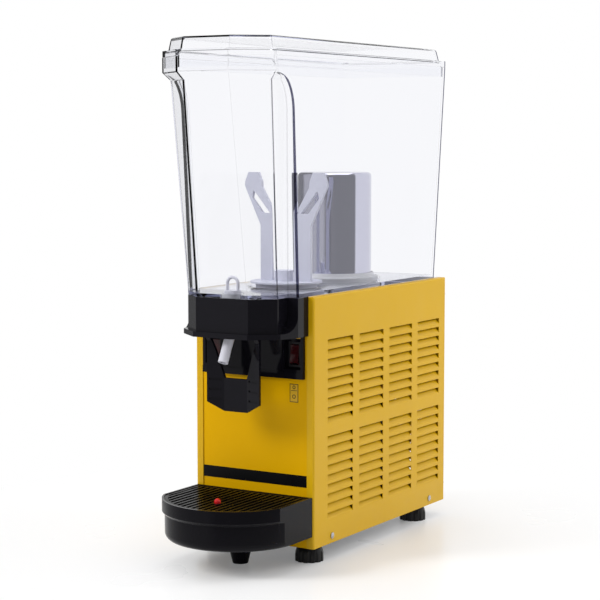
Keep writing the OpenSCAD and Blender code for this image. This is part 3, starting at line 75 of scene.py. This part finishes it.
class Mat:
    """A node material around one Principled shader, with helpers for procedural detail."""

    def __init__(self, name):
        self.mat = bpy.data.materials.new(name)
        self.mat.use_nodes = True
        self.nt = self.mat.node_tree
        self.nt.nodes.clear()
        self.out = self.nt.nodes.new("ShaderNodeOutputMaterial")
        self.bsdf = self.nt.nodes.new("ShaderNodeBsdfPrincipled")
        self.link(self.bsdf.outputs[0], self.out.inputs["Surface"])
        self.coord = self.nt.nodes.new("ShaderNodeTexCoord").outputs["Object"]

    def link(self, a, b):
        self.nt.links.new(a, b)

    def set(self, **values):
        for key, value in values.items():
            feed(self.nt, self.bsdf.inputs[key.replace("_", " ")], value)
        return self

    def node(self, kind, **inputs):
        n = self.nt.nodes.new(kind)
        for key, value in inputs.items():
            feed(self.nt, n.inputs[key.replace("_", " ")], value)
        return n

    def noise(self, scale, detail=3.0, rough=0.5, stretch=None):
        where = self.coord
        if stretch:
            where = self.node("ShaderNodeMapping", Vector=where, Scale=stretch).outputs[0]
        return self.node("ShaderNodeTexNoise", Vector=where, Scale=scale, Detail=detail,
                         Roughness=rough).outputs["Fac"]

    def remap(self, value, low, high, start=0.3, end=0.7):
        return self.node("ShaderNodeMapRange", Value=value, From_Min=start, From_Max=end,
                         To_Min=low, To_Max=high).outputs[0]

    def blend(self, factor, a, b):
        n = self.nt.nodes.new("ShaderNodeMix")
        n.data_type = "RGBA"
        for i, value in ((0, factor), (6, a), (7, b)):
            feed(self.nt, n.inputs[i], value)
        return n.outputs[2]

    def math(self, op, a, b=0.0):
        n = self.nt.nodes.new("ShaderNodeMath")
        n.operation = op
        feed(self.nt, n.inputs[0], a)
        feed(self.nt, n.inputs[1], b)
        return n.outputs[0]

    def color(self, value):
        return self.set(Base_Color=value)

    def roughness(self, value):
        return self.set(Roughness=value)

    def bump(self, height, strength, distance):
        n = self.node("ShaderNodeBump", Height=height, Strength=strength, Distance=distance)
        return self.set(Normal=n.outputs[0])

    def axes(self):
        return self.node("ShaderNodeSeparateXYZ", Vector=self.coord).outputs

    def light_path(self):
        return self.nt.nodes.new("ShaderNodeLightPath").outputs

    def mix(self, factor, shader):
        """Shows another shader in place of the Principled one, by a factor."""
        n = self.nt.nodes.new("ShaderNodeMixShader")
        for socket, value in zip(n.inputs, (factor, self.bsdf.outputs[0], shader.outputs[0])):
            self.link(value, socket)
        self.link(n.outputs[0], self.out.inputs["Surface"])


def moulded(name, dark, light, rough, grain=1400.0, strength=0.12, sheen=0.5):
    """Moulded plastic or rubber: slow colour drift, fine grain and uneven gloss."""
    m = Mat(name).set(Specular_IOR_Level=sheen)
    drift, gloss = m.noise(14.0), m.noise(60.0, 4.0)
    m.color(m.blend(drift, dark, light))
    m.roughness(m.remap(gloss, rough * 0.82, rough * 1.2))
    m.bump(m.noise(grain, 2.0), strength, 0.00012)
    return m.mat


def metal(name, dark, light, rough, scale=90.0, stretch=(1, 1, 1)):
    """Bare metal, with fine drawn lines where its noise is stretched."""
    m = Mat(name).set(Metallic=1.0)
    lines = m.noise(scale, 4.0, 0.6, stretch)
    m.color(m.blend(lines, dark, light))
    m.roughness(m.remap(lines, rough * 0.8, rough * 1.3))
    m.bump(lines, 0.06, 0.0001)
    return m.mat


def paint(name, dark, light, sheen):
    """Enamel on sheet steel, with a faint orange peel."""
    m = Mat(name).set(Specular_IOR_Level=sheen)
    drift, gloss, peel = m.noise(6.0, 4.0), m.noise(40.0, 4.0), m.noise(900.0, 2.0)
    m.color(m.blend(drift, dark, light))
    m.roughness(m.remap(gloss, 0.34, 0.42))
    m.bump(peel, 0.05, 0.0001)
    return m.mat


def polished(name, dark, light):
    """Polished steel: upright streaks in its colour and turned rings in its gloss."""
    m = Mat(name).set(Metallic=1.0)
    lines = m.noise(120.0, 4.0, 0.6, (1, 1, 0.03))
    rings = m.noise(300.0, 2.0, 0.5, (0.01, 0.01, 1))
    m.color(m.blend(lines, dark, light))
    m.roughness(m.remap(rings, 0.05, 0.09))
    m.bump(rings, 0.04, 0.0001)
    return m.mat


front_yellow = paint("front_enamel", srgb(217, 164, 0), srgb(223, 171, 1), sheen=0.06)
# The side panels wear the front's yellow paint; this copy is a little darker, as painted shade for how light
# falls on the sides, and has more sheen
side_yellow_shaded = paint("side_enamel_shaded", srgb(208, 163, 0), srgb(215, 170, 2), sheen=0.3)
black_gloss = moulded("black_gloss", srgb(14, 13, 18), srgb(19, 18, 24), 0.08,
                      strength=0.03, sheen=0.17)
black_tray = moulded("black_tray", srgb(10, 9, 13), srgb(14, 13, 18), 0.15,
                     strength=0.04, sheen=0.12)
black_grille = moulded("black_grille", srgb(8, 8, 9), srgb(12, 12, 13), 0.3,
                       strength=0.04, sheen=0.05)
black_grain = moulded("black_grain", srgb(20, 20, 22), srgb(27, 27, 30), 0.42,
                      grain=900.0, strength=0.25)
strip_film = moulded("strip_film", srgb(9, 9, 10), srgb(12, 12, 13), 0.3,
                     grain=2000.0, strength=0.05, sheen=0.12)
foot_rubber = moulded("foot_rubber", srgb(10, 10, 11), srgb(15, 15, 16), 0.35,
                      grain=700.0, strength=0.2, sheen=0.3)
white_plastic = moulded("white_plastic", srgb(202, 202, 212), srgb(212, 212, 221), 0.34)
paddle_plastic = moulded("paddle_plastic", srgb(190, 191, 206), srgb(200, 201, 214), 0.4)
pale_rubber = moulded("pale_rubber", srgb(196, 197, 202), srgb(208, 208, 213), 0.55, grain=800.0)
float_red = moulded("float_red", srgb(200, 18, 24), srgb(214, 30, 34), 0.25)
# Dark red of the rockers: partly their own translucent red, partly painted shade for the nose's shadow on
# the right rocker
rocker_red_shaded = moulded("rocker_red_shaded", srgb(46, 6, 10), srgb(60, 8, 13), 0.16)
deck_enamel = moulded("deck_enamel", srgb(206, 207, 214), srgb(216, 217, 223), 0.3,
                      grain=600.0, strength=0.06)
# Insulation foam painted dark grey as painted shade for the dark inside of the cabinet seen through the
# louvres; the foam itself is pale
foam_painted_shade = moulded("foam_painted_shade", srgb(44, 44, 47), srgb(54, 54, 57), 0.85,
                    grain=300.0, strength=0.5)
black_enamel = moulded("black_enamel", srgb(26, 27, 29), srgb(36, 37, 40), 0.3,
                       grain=300.0, strength=0.1)
zinc = metal("zinc_sheet", srgb(150, 153, 158), srgb(182, 184, 188), 0.38, scale=26.0)
screw_steel = metal("screw_steel", srgb(168, 168, 172), srgb(205, 205, 208), 0.24, scale=400.0)
cast_grey = metal("cast_grey", srgb(112, 115, 120), srgb(138, 141, 146), 0.45, scale=200.0)
fin_metal = metal("fin_metal", srgb(160, 164, 170), srgb(190, 193, 198), 0.35, stretch=(1, 1, 30))
copper = metal("copper_tube", srgb(176, 104, 66), srgb(206, 134, 92), 0.28, scale=160.0)
magnet = metal("magnet", srgb(54, 54, 58), srgb(78, 78, 82), 0.5, scale=300.0)
steel = polished("polished_steel", srgb(196, 196, 212), srgb(209, 209, 223))

# Sticker, in metres from its middle: the frame's inset, the cross line's height, half width and gap to
# the edge, and the round marks' line and their heights and radii
FRAME_IN = 0.0009
CROSS_Z = 0.0032
CROSS_HALF = 0.0004
CROSS_GAP = 0.002
MARK_HALF = 0.0005
MARKS = ((0.0075, 0.0018), (-0.0045, 0.0022))


def sticker():
    """Film with a thin frame, a cross line and two plain round marks."""
    m = Mat("pictogram_film").set(Roughness=0.4)
    low, high = (Vector(v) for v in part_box("pictogram_sticker"))
    mid = (low + high) / 2
    half = (high - low) / 2
    x, _, z = m.axes()
    u = m.math("ABSOLUTE", m.math("SUBTRACT", x, mid.x))
    v = m.math("SUBTRACT", z, mid.z)
    edge = m.math("MAXIMUM", m.math("SUBTRACT", u, half.x - FRAME_IN),
                  m.math("SUBTRACT", m.math("ABSOLUTE", v), half.z - FRAME_IN))
    line = m.math("SUBTRACT", CROSS_HALF, m.math("ABSOLUTE", m.math("SUBTRACT", v, CROSS_Z)))
    ink = m.math("MAXIMUM", edge, m.math("MINIMUM", line, m.math("SUBTRACT", half.x - CROSS_GAP, u)))
    for height, radius in MARKS:
        rise = m.math("SUBTRACT", v, height)
        squares = m.math("ADD", m.math("MULTIPLY", u, u), m.math("MULTIPLY", rise, rise))
        off = m.math("ABSOLUTE", m.math("SUBTRACT", m.math("SQRT", squares), radius))
        ink = m.math("MAXIMUM", ink, m.math("SUBTRACT", MARK_HALF, off))
    ground = m.blend(m.noise(300.0), srgb(205, 160, 12), srgb(214, 170, 22))
    m.color(m.blend(m.math("GREATER_THAN", ink, 0.0), ground, srgb(34, 25, 5)))
    m.bump(m.noise(900.0), 0.05, 0.0001)
    return m.mat


CLEAR = (0.985, 0.987, 0.995, 1.0)
CLEAR_SHADOW = (0.985, 0.987, 0.99, 1.0)
# Colour of the painted shade in the marked rounds and under the rim of the clear plastic
CORNER_PAINTED_SHADE = (0.015, 0.015, 0.035, 1.0)
HAZE = (0.58, 0.6, 0.76, 1.0)


def clear_plastic(name, density):
    """Clear polycarbonate: it refracts and lets light through. Its marked rounds get painted shade, a dark
    colour standing in for the dark edges that refraction shows there; a round marked below zero gets it only
    from outside."""
    m = Mat(name).set(Transmission_Weight=1.0, IOR=1.15, Specular_IOR_Level=0.5)
    attribute = m.nt.nodes.new("ShaderNodeAttribute")
    attribute.attribute_name = "corner"
    corner = attribute.outputs["Fac"]
    inside = m.nt.nodes.new("ShaderNodeNewGeometry").outputs["Backfacing"]
    outside_only = m.math("MULTIPLY", corner, m.math("SUBTRACT", inside, 1.0))
    # Painted shade: the marked rounds are coloured dark, standing in for the dark edges that refraction
    # shows there
    m.color(m.blend(m.math("MAXIMUM", corner, outside_only), CLEAR, CORNER_PAINTED_SHADE))
    m.roughness(m.remap(m.noise(9.0), 0.0, 0.012))
    m.mix(m.light_path()["Is Shadow Ray"], m.node("ShaderNodeBsdfTransparent", Color=CLEAR_SHADOW))
    haze = m.node("ShaderNodeVolumeAbsorption", Color=HAZE, Density=density)
    m.link(haze.outputs[0], m.out.inputs["Volume"])
    return m.mat


tank_clear = clear_plastic("clear_polycarbonate", 10.0)
lid_clear = clear_plastic("clear_lid", 9.0)

finishes = {
    front_yellow: ["front_panel"],
    side_yellow_shaded: ["side_panel_left", "side_panel_right", "rear_panel"],
    deck_enamel: ["top_deck"],
    zinc: ["base_pan", "motor_bracket", "fan_shroud"],
    black_gloss: ["nose_collar", "control_fascia", "tap_lever"],
    black_tray: ["drip_tray"],
    black_grille: ["drip_grille"],
    black_grain: ["switch_body_left", "switch_body_right", "cable_gland", "relay_box"],
    strip_film: ["label_strip"],
    foot_rubber: ["foot_front_left", "foot_front_right", "foot_rear_left", "foot_rear_right",
                  "compressor_grommets"],
    rocker_red_shaded: ["rocker_left", "rocker_right"],
    float_red: ["tray_float"],
    sticker(): ["pictogram_sticker"],
    tank_clear: ["tank"],
    lid_clear: ["tank_lid"],
    steel: ["evaporator_can"],
    screw_steel: ["lever_pin", "plunger_cross_pin", "lever_springs", "stirrer_pin", "side_screws",
                  "rear_screws"],
    paddle_plastic: ["stirrer_paddle"],
    white_plastic: ["tap_plunger", "spout", "fan_blade", "thermostat", "thermostat_spindle"],
    pale_rubber: ["evaporator_seal", "spout_gasket", "plunger_seal"],
    magnet: ["stirrer_magnets"],
    cast_grey: ["drive_rotor", "gear_motor", "fan_motor"],
    black_enamel: ["compressor"],
    fin_metal: ["condenser"],
    copper: ["evaporator_coil", "filter_drier", "discharge_tube", "liquid_tube", "capillary_tube",
             "suction_tube"],
    foam_painted_shade: ["deck_insulation"],
}
for material, names in finishes.items():
    for name in names:
        obj = nodes[name]
        obj.data.materials.clear()
        obj.data.materials.append(material)


# Clear tank and lid as smooth shells with the same outline as their solids

def lerp(a, b, t):
    return a + (b - a) * t


def clamp(t):
    return max(0.0, min(1.0, t))


def unit(v):
    return v / v.length


def left_of(v):
    return Vector((-v.y, v.x))


def inset(pts, d):
    """A closed outline with each of its walls moved inwards."""
    done = []
    for i, p in enumerate(pts):
        n1 = left_of(unit(p - pts[i - 1]))
        n2 = left_of(unit(pts[(i + 1) % len(pts)] - p))
        done.append(p + (n1 + n2) * (d / (1 + n1.dot(n2))))
    return done


ARC_STEPS = 8


def fillet(a, b, c, r):
    """Points of the round at b, on the way from a to c."""
    u, v = unit(a - b), unit(c - b)
    half = math.acos(max(-1.0, min(1.0, u.dot(v)))) / 2
    q = b + unit(u + v) * (r / math.sin(half))
    s, e = b + u * (r / math.tan(half)) - q, b + v * (r / math.tan(half)) - q
    start = math.atan2(s.y, s.x)
    turn = math.atan2(s.x * e.y - s.y * e.x, s.dot(e))
    angles = [start + turn * i / ARC_STEPS for i in range(ARC_STEPS + 1)]
    return [q + r * Vector((math.cos(angle), math.sin(angle))) for angle in angles]


# Strip of wall on both sides of each round: its width at the rear corners, and as a share of the radius
# at the others
REAR_STRIP = 2.0
OTHER_STRIP = 0.1


def ring(half, radii, gap):
    """Closed outline from the corners of its right half, front to rear, moved inwards and rounded."""
    pts = [Vector(p) for p in half]
    pts += [Vector((-p.x, p.y)) for p in reversed(pts)]
    pts = inset(pts, gap)
    out = []
    for i, (p, r) in enumerate(zip(pts, radii + radii[::-1])):
        before, after = pts[i - 1], pts[(i + 1) % len(pts)]
        arc = fillet(before, p, after, r)
        strip = REAR_STRIP if i in (len(half) - 1, len(half)) else OTHER_STRIP * r
        out += [arc[0] + unit(before - p) * strip, *arc, arc[-1] + unit(after - p) * strip]
    return out


# Heights of the tank: its foot, its floor, its rim with the slope under it, and the arch of the prow's
# steps
TANK_Z = CAB_H + 0.8
TANK_H = 298.7
FLOOR_Z = TANK_Z + 4.5
RIM_Z = TANK_Z + TANK_H
RIM_LOW = RIM_Z - 18.5
SLOPE_H = 10.0
SLOPE_LOW = RIM_LOW - SLOPE_H
ARCH_LOW = SLOPE_LOW - 37.0
ARCH_HIGH = RIM_LOW - 2.0
WALL = 3.4

# Corners of the tank's right half at the foot. The front leans forward up to the slope, and the other
# corners of the prow follow it by a share
FRONT_X, FRONT_Y = 38.2, -74.2
SIDE_X, SIDE_Y = 67.5, -50.0
STEP_Y = -27.0
WIDE = 83.0
REAR_Y = 349.0
LEAN = 33.0
SIDE_LEAN_X, SIDE_LEAN_Y, STEP_LEAN = 0.235, 0.77, 0.45
FRONT_TOP_X, WIDE_TOP, REAR_TOP_Y = 34.3, 85.0, 377.0
# How far the rim stands out at the front and side corners, and how far in from the tank's side
RIM_FRONT_X, RIM_FRONT_Y, RIM_SIDE_Y, RIM_IN = 4.0, 8.6, 4.3, 0.6
# Slant of the step's two walls, and the room left in front of it at the top of the arch
STEP_SLANT_X, STEP_SLANT_Y, STEP_ROOM = 0.2, 0.6, 2.5
FRONT_R, SIDE_R, REAR_R = 3.0, 4.0, 4.0
STEP_R_MIN, STEP_R_MAX = 0.3, 5.0


def tank_half(z):
    """Corners of the tank's right half at a height, front to rear, and their radii."""
    t = (min(z, SLOPE_LOW) - TANK_Z) / (SLOPE_LOW - TANK_Z)
    rim = clamp((z - SLOPE_LOW) / SLOPE_H)
    arch = clamp((z - ARCH_LOW) / (ARCH_HIGH - ARCH_LOW))
    wide = lerp(WIDE, WIDE_TOP, t)
    front = Vector((lerp(FRONT_X, FRONT_TOP_X, t) + rim * RIM_FRONT_X,
                    lerp(FRONT_Y, FRONT_Y - LEAN, t) - rim * RIM_FRONT_Y))
    side_top = SIDE_X + SIDE_LEAN_X * LEAN
    side = Vector((lerp(SIDE_X, side_top, t) + rim * (wide - RIM_IN - side_top),
                   lerp(SIDE_Y, SIDE_Y - SIDE_LEAN_Y * LEAN, t) - rim * RIM_SIDE_Y))
    step = lerp(lerp(STEP_Y, STEP_Y - STEP_LEAN * LEAN, t), side.y + STEP_ROOM,
                1 - math.sqrt(1 - arch * arch))
    rear = lerp(REAR_Y, REAR_TOP_Y, (z - TANK_Z) / TANK_H)
    r = max(STEP_R_MIN, min(STEP_R_MAX, 0.3 * (step - side.y), 0.4 * (wide - side.x)))
    half = [front, side, Vector((side.x + STEP_SLANT_X, step)), Vector((wide, step + STEP_SLANT_Y)),
            Vector((wide, rear))]
    return half, [FRONT_R, min(SIDE_R, r), r, r, REAR_R]


# Painted shade for the clear plastic, a dark colour standing in for the dark edges that refraction shows:
# the strength of a round's painted shade and how many faces from its middle it reaches, and the strength of
# the painted shade line along the rim's lower edge, on the front wall and the two beside it
FAINT = (0.3, 0.8)
SOFT = (0.4, 0.8)
DARK = (0.9, 1.6)
DARKEST = (1.0, 1.6)
OUTSIDE = (-1.0, 5.0)
SILL_PAINTED_SHADE = 0.7
SILL_WALLS = (0, 8, 9)


def skin(name, rings, shade_tints=(), sill=None, bare=0):
    """Closed mesh over rings of equal length, each given as (points, height). The rounds at the corners are
    marked with the painted shade given for its right half, except between the bare first rings; the painted
    shade line along the rim is marked from the height of the sill to the next ring."""
    shade_tints = [*shade_tints, *reversed(shade_tints)]
    bm = bmesh.new()
    # Face layer that carries the painted shade of the rounds and of the line under the rim
    shade_mark = bm.faces.layers.float.new("corner")
    rows = [[bm.verts.new(place(p.x, p.y, z)) for p in pts] for pts, z in rings]
    n = len(rows[0])
    each = n // len(shade_tints) if shade_tints else n
    mid = (each - 2) / 2
    for level, (low, high) in enumerate(zip(rows, rows[1:])):
        for i in range(n):
            j = (i + 1) % n
            face = bm.faces.new((low[i], low[j], high[j], high[i]))
            corner, k = divmod(i, each)
            if rings[level][1] == sill and k == each - 1 and corner in SILL_WALLS:
                face[shade_mark] = SILL_PAINTED_SHADE
            if shade_tints and level >= bare and abs(k - mid) < shade_tints[corner][1]:
                face[shade_mark] = shade_tints[corner][0]
    bm.faces.new(list(reversed(rows[0])))
    bm.faces.new(rows[-1])
    bmesh.ops.recalc_face_normals(bm, faces=bm.faces)
    mesh = bpy.data.meshes.new(name)
    bm.to_mesh(mesh)
    bm.free()
    obj = bpy.data.objects.new(name, mesh)
    scene.collection.objects.link(obj)
    return obj


def drum(name, y, low, high, r, sides=128):
    angles = [2 * math.pi * i / sides for i in range(sides)]
    pts = [Vector((r * math.cos(angle), y + r * math.sin(angle))) for angle in angles]
    return skin(name, [(pts, low), (pts, high)])


def combine(base, tools):
    """Applies a list of (operation, object) to base and removes the tool objects."""
    for op, tool in tools:
        mod = base.modifiers.new(op, "BOOLEAN")
        mod.operation = op
        mod.solver = "EXACT"
        mod.object = tool
    depsgraph = bpy.context.evaluated_depsgraph_get()
    made = bpy.data.meshes.new_from_object(base.evaluated_get(depsgraph))
    base.modifiers.clear()
    base.data = made
    for _, tool in tools:
        bpy.data.objects.remove(tool)


def smooth(obj, angle):
    """Smooth shading with sharp edges above an angle in degrees."""
    bm = bmesh.new()
    bm.from_mesh(obj.data)
    for face in bm.faces:
        face.smooth = True
    for edge in bm.edges:
        edge.smooth = len(edge.link_faces) == 2 and edge.calc_face_angle(0.0) < math.radians(angle)
    bm.to_mesh(obj.data)
    bm.free()


WALL_STEPS = 6
ARCH_STEPS = 16


def tank_rings(low, gap):
    """Rings of the tank's wall from a height up to its rim, closer together in the arch."""
    zs = [lerp(low, ARCH_LOW, i / WALL_STEPS) for i in range(WALL_STEPS)]
    zs += [lerp(ARCH_LOW, ARCH_HIGH, math.sin(math.pi / 2 * i / ARCH_STEPS)) for i in range(ARCH_STEPS + 1)]
    zs += [SLOPE_LOW - 0.4, SLOPE_LOW + 0.4, RIM_LOW, RIM_LOW + 0.5, RIM_Z - 0.6, RIM_Z]
    return [(ring(*tank_half(z), gap), z) for z in sorted(zs)]


# Openings in the tank's floor: the stirrer's well, the seat around the cooling cylinder and the tap
WELL_Y, WELL_R, WELL_H = 79.0, 51.5, 15.3
SEAT_Y, SEAT_R, SEAT_H = 205.0, 62.8, 4.0
TAP_Y, TAP_R = -48.0, 14.3
TUB_T = 3.0
JOIN = 0.01
OVER = 1.0


def make_tank():
    outer = tank_rings(TANK_Z, 0.0)
    inner = tank_rings(FLOOR_Z, WALL)
    inner.append((inner[-1][0], RIM_Z + 2 * OVER))
    tank = skin("tank_shell", outer, [FAINT, DARK, FAINT, DARKEST, OUTSIDE], RIM_LOW)
    combine(tank, [
        ("DIFFERENCE", skin("cut", inner)),
        ("UNION", drum("well", WELL_Y, FLOOR_Z - WELL_H, FLOOR_Z - JOIN, WELL_R)),
        ("UNION", drum("seat", SEAT_Y, TANK_Z + JOIN, FLOOR_Z + SEAT_H, SEAT_R)),
        ("DIFFERENCE", drum("well_cut", WELL_Y, FLOOR_Z - WELL_H + TUB_T, FLOOR_Z + OVER, WELL_R - TUB_T)),
        ("DIFFERENCE", drum("seat_cut", SEAT_Y, TANK_Z - OVER, FLOOR_Z + SEAT_H + 2 * OVER, SEAT_R - TUB_T)),
        ("DIFFERENCE", drum("tap_cut", TAP_Y, TANK_Z - OVER, FLOOR_Z + OVER, TAP_R, 64)),
    ])
    smooth(tank, 28)
    tank.data.materials.clear()
    tank.data.materials.append(tank_clear)
    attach(tank, "tank_body")
    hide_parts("tank")


# Lid: its underside on the rim, the flange's top, the raised top, the skirt inside the tank, the distance
# of the raised part from the edge, and the thickness
LID_Z = RIM_Z + 0.3
LID_FLANGE = LID_Z + 8.2
LID_TOP = LID_FLANGE + 16.0
SKIRT_LOW = LID_Z - 13.5
SKIRT_IN = WALL + 0.5
LID_IN = 7.0
LID_T = 2.4


def make_lid():
    """Shell over the lid's section, given as (distance from the edge, height) from the middle of its
    ceiling down the inside and up the outside."""
    inside = [
        (LID_IN + LID_T + 4.6, LID_TOP - LID_T), (LID_IN + LID_T + 2.3, LID_TOP - LID_T - 2.0),
        (LID_IN + LID_T, LID_FLANGE - LID_T + 1.0), (LID_IN, LID_FLANGE - LID_T),
        (SKIRT_IN + LID_T + 1.0, LID_FLANGE - LID_T), (SKIRT_IN + LID_T, LID_FLANGE - LID_T - 1.0),
    ]
    outside = [
        (SKIRT_IN + LID_T, SKIRT_LOW), (SKIRT_IN, SKIRT_LOW), (SKIRT_IN, LID_Z), (0.4, LID_Z),
        (0.0, LID_Z + 0.4), (0.0, LID_FLANGE - 0.8), (0.3, LID_FLANGE - 0.2), (0.9, LID_FLANGE),
        (LID_IN - 1.2, LID_FLANGE), (LID_IN, LID_FLANGE + 1.0), (LID_IN + 2.3, LID_TOP - 3.4),
        (LID_IN + 3.1, LID_TOP - 1.2), (LID_IN + 5.0, LID_TOP),
    ]
    front, side, *_, rear = tank_half(RIM_Z)[0]
    rings = [(ring([front, side, rear], [FRONT_R, SIDE_R, REAR_R], gap), z) for gap, z in inside + outside]
    lid = skin("lid_shell", rings, [SOFT, SOFT, OUTSIDE], bare=len(inside))
    smooth(lid, 20)
    lid.data.materials.append(lid_clear)
    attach(lid, "lid")
    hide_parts("tank_lid")


make_tank()
make_lid()


# Stage: camera, floor, world and lamps

def looking(at, direction):
    """Matrix of a camera or lamp at a place, turned to a direction."""
    return Matrix.Translation(at) @ direction.to_track_quat("-Z", "Y").to_matrix().to_4x4()


YAW = math.radians(31.195)
PITCH = math.radians(5.34)
EYE = place(1217.3, -1895.5, 525.9)
forward = Vector((-math.sin(YAW) * math.cos(PITCH), math.cos(YAW) * math.cos(PITCH), -math.sin(PITCH)))
camera = bpy.data.cameras.new("camera")
camera.lens = 105.675
camera.sensor_width = 36.0
camera.clip_end = 60.0
eye = bpy.data.objects.new("camera", camera)
eye.matrix_world = looking(EYE, forward)
scene.collection.objects.link(eye)
scene.camera = eye

# Room that polished surfaces see: direction, start and end of the ramp on its cosine, and strength
BACKDROP = (0.35, 0.937, 0.0, 0.42, 0.53, 1.0)
LEFT_WALL = (-0.63, -0.70, 0.33, 0.57, 0.77, 0.6)
CEILING = (0.0, 0.0, 1.0, 0.5, 0.9, 0.5)
DIM = 0.26
# What the world gives to matt surfaces
FILL = 0.6
WHITE = (1.0, 1.0, 1.0, 1.0)
# Metres from the middle of the object where the floor starts and ends to turn white, and how white it is
# at the start
FADE_START, FADE_END, FADE_LOW = 0.18, 0.58, 0.15
FLOOR_SIZE = 20.0


def make_floor():
    """White near the object, where it takes the shadow, and fading into the white of the backdrop. In
    polished surfaces it is as bright as the room behind it."""
    m = Mat("floor_white").set(Specular_IOR_Level=0.3)
    x, y, _ = m.axes()
    far = m.math("SQRT", m.math("ADD", m.math("MULTIPLY", x, x), m.math("MULTIPLY", y, y)))

    def toward(ax, ay, _, start, end, strength):
        along = m.math("ADD", m.math("MULTIPLY", x, ax), m.math("MULTIPLY", y, ay))
        return m.remap(m.math("DIVIDE", along, far), 0.0, strength, start, end)

    room = m.math("MAXIMUM", m.math("MAXIMUM", toward(*BACKDROP), toward(*LEFT_WALL)), DIM)
    path = m.light_path()
    seen = m.math("MAXIMUM", path["Is Camera Ray"],
                  m.math("MAXIMUM", path["Is Glossy Ray"], path["Is Transmission Ray"]))
    seen = m.math("MULTIPLY", seen, m.math("LESS_THAN", path["Diffuse Depth"], 0.5))
    mirrored = m.math("GREATER_THAN", path["Glossy Depth"], 0.5)
    dark = m.math("MULTIPLY", mirrored, m.math("SUBTRACT", 1.0, room))
    fade = m.math("MULTIPLY", m.remap(far, FADE_LOW, 1.0, FADE_START, FADE_END), seen)
    m.color(m.blend(m.noise(3.0), (0.91, 0.91, 0.914, 1.0), (0.916, 0.916, 0.92, 1.0)))
    m.roughness(m.remap(m.noise(5.0), 0.26, 0.34))
    m.mix(fade, m.node("ShaderNodeEmission", Color=WHITE, Strength=m.math("SUBTRACT", 1.0, dark)))
    bm = bmesh.new()
    bmesh.ops.create_grid(bm, x_segments=8, y_segments=8, size=FLOOR_SIZE)
    mesh = bpy.data.meshes.new("floor")
    bm.to_mesh(mesh)
    bm.free()
    mesh.materials.append(m.mat)
    floor = bpy.data.objects.new("floor", mesh)
    scene.collection.objects.link(floor)


def make_world():
    """White to the camera and through the clear plastic; polished surfaces see a white backdrop behind,
    a softer wall on the left and a darker room on the right."""
    world = bpy.data.worlds.new("studio")
    scene.world = world
    world.use_nodes = True
    nt = world.node_tree
    nt.nodes.clear()

    def add(kind, op=None, inputs=()):
        n = nt.nodes.new(kind)
        if op:
            n.operation = op
        for i, value in enumerate(inputs):
            if value is not None:
                feed(nt, n.inputs[i], value)
        return n

    def facing(x, y, z, start, end, strength):
        dot = add("ShaderNodeVectorMath", "DOT_PRODUCT", (ray, (x, y, z))).outputs["Value"]
        n = add("ShaderNodeMapRange", None, (dot, start, end, 0.0, strength))
        n.interpolation_type = "SMOOTHSTEP"
        return n.outputs[0]

    def most(a, b):
        return add("ShaderNodeMath", "MAXIMUM", (a, b)).outputs[0]

    ray = add("ShaderNodeTexCoord").outputs["Generated"]
    path = add("ShaderNodeLightPath").outputs
    room = most(most(facing(*BACKDROP), facing(*LEFT_WALL)), most(facing(*CEILING), DIM))
    mirrored = add("ShaderNodeMath", "GREATER_THAN", (path["Glossy Depth"], 0.5)).outputs[0]
    direct = add("ShaderNodeMath", "LESS_THAN", (path["Diffuse Depth"], 0.5)).outputs[0]
    seen = most(path["Is Camera Ray"], most(path["Is Glossy Ray"], path["Is Transmission Ray"]))
    seen = add("ShaderNodeMath", "MULTIPLY", (seen, direct)).outputs[0]
    shown = add("ShaderNodeMix", None, (mirrored, None, 1.0, room)).outputs[0]
    level = add("ShaderNodeMix", None, (seen, None, FILL, shown)).outputs[0]
    sky = add("ShaderNodeBackground", None, (WHITE, level))
    out = add("ShaderNodeOutputWorld")
    nt.links.new(sky.outputs[0], out.inputs["Surface"])


def lamp(name, at, toward, size, power, mirrored=True):
    data = bpy.data.lights.new(name, "AREA")
    data.shape = "RECTANGLE"
    data.size, data.size_y = size
    data.energy = power
    obj = bpy.data.objects.new(name, data)
    obj.matrix_world = looking(Vector(at), Vector(toward) - Vector(at))
    obj.visible_glossy = obj.visible_transmission = mirrored
    scene.collection.objects.link(obj)


make_floor()
make_world()
lamp("top_box", at=(0.1, 0.1, 2.4), toward=(0, 0, 0.3), size=(1.8, 1.8), power=18.0)
lamp("left_box", at=(-1.5, -1.7, 1.7), toward=(0, 0, 0.3), size=(0.8, 1.0), power=41.0, mirrored=False)
lamp("right_box", at=(1.4, 1.3, 1.1), toward=(0, 0.15, 0.35), size=(0.7, 1.2), power=15.0, mirrored=False)
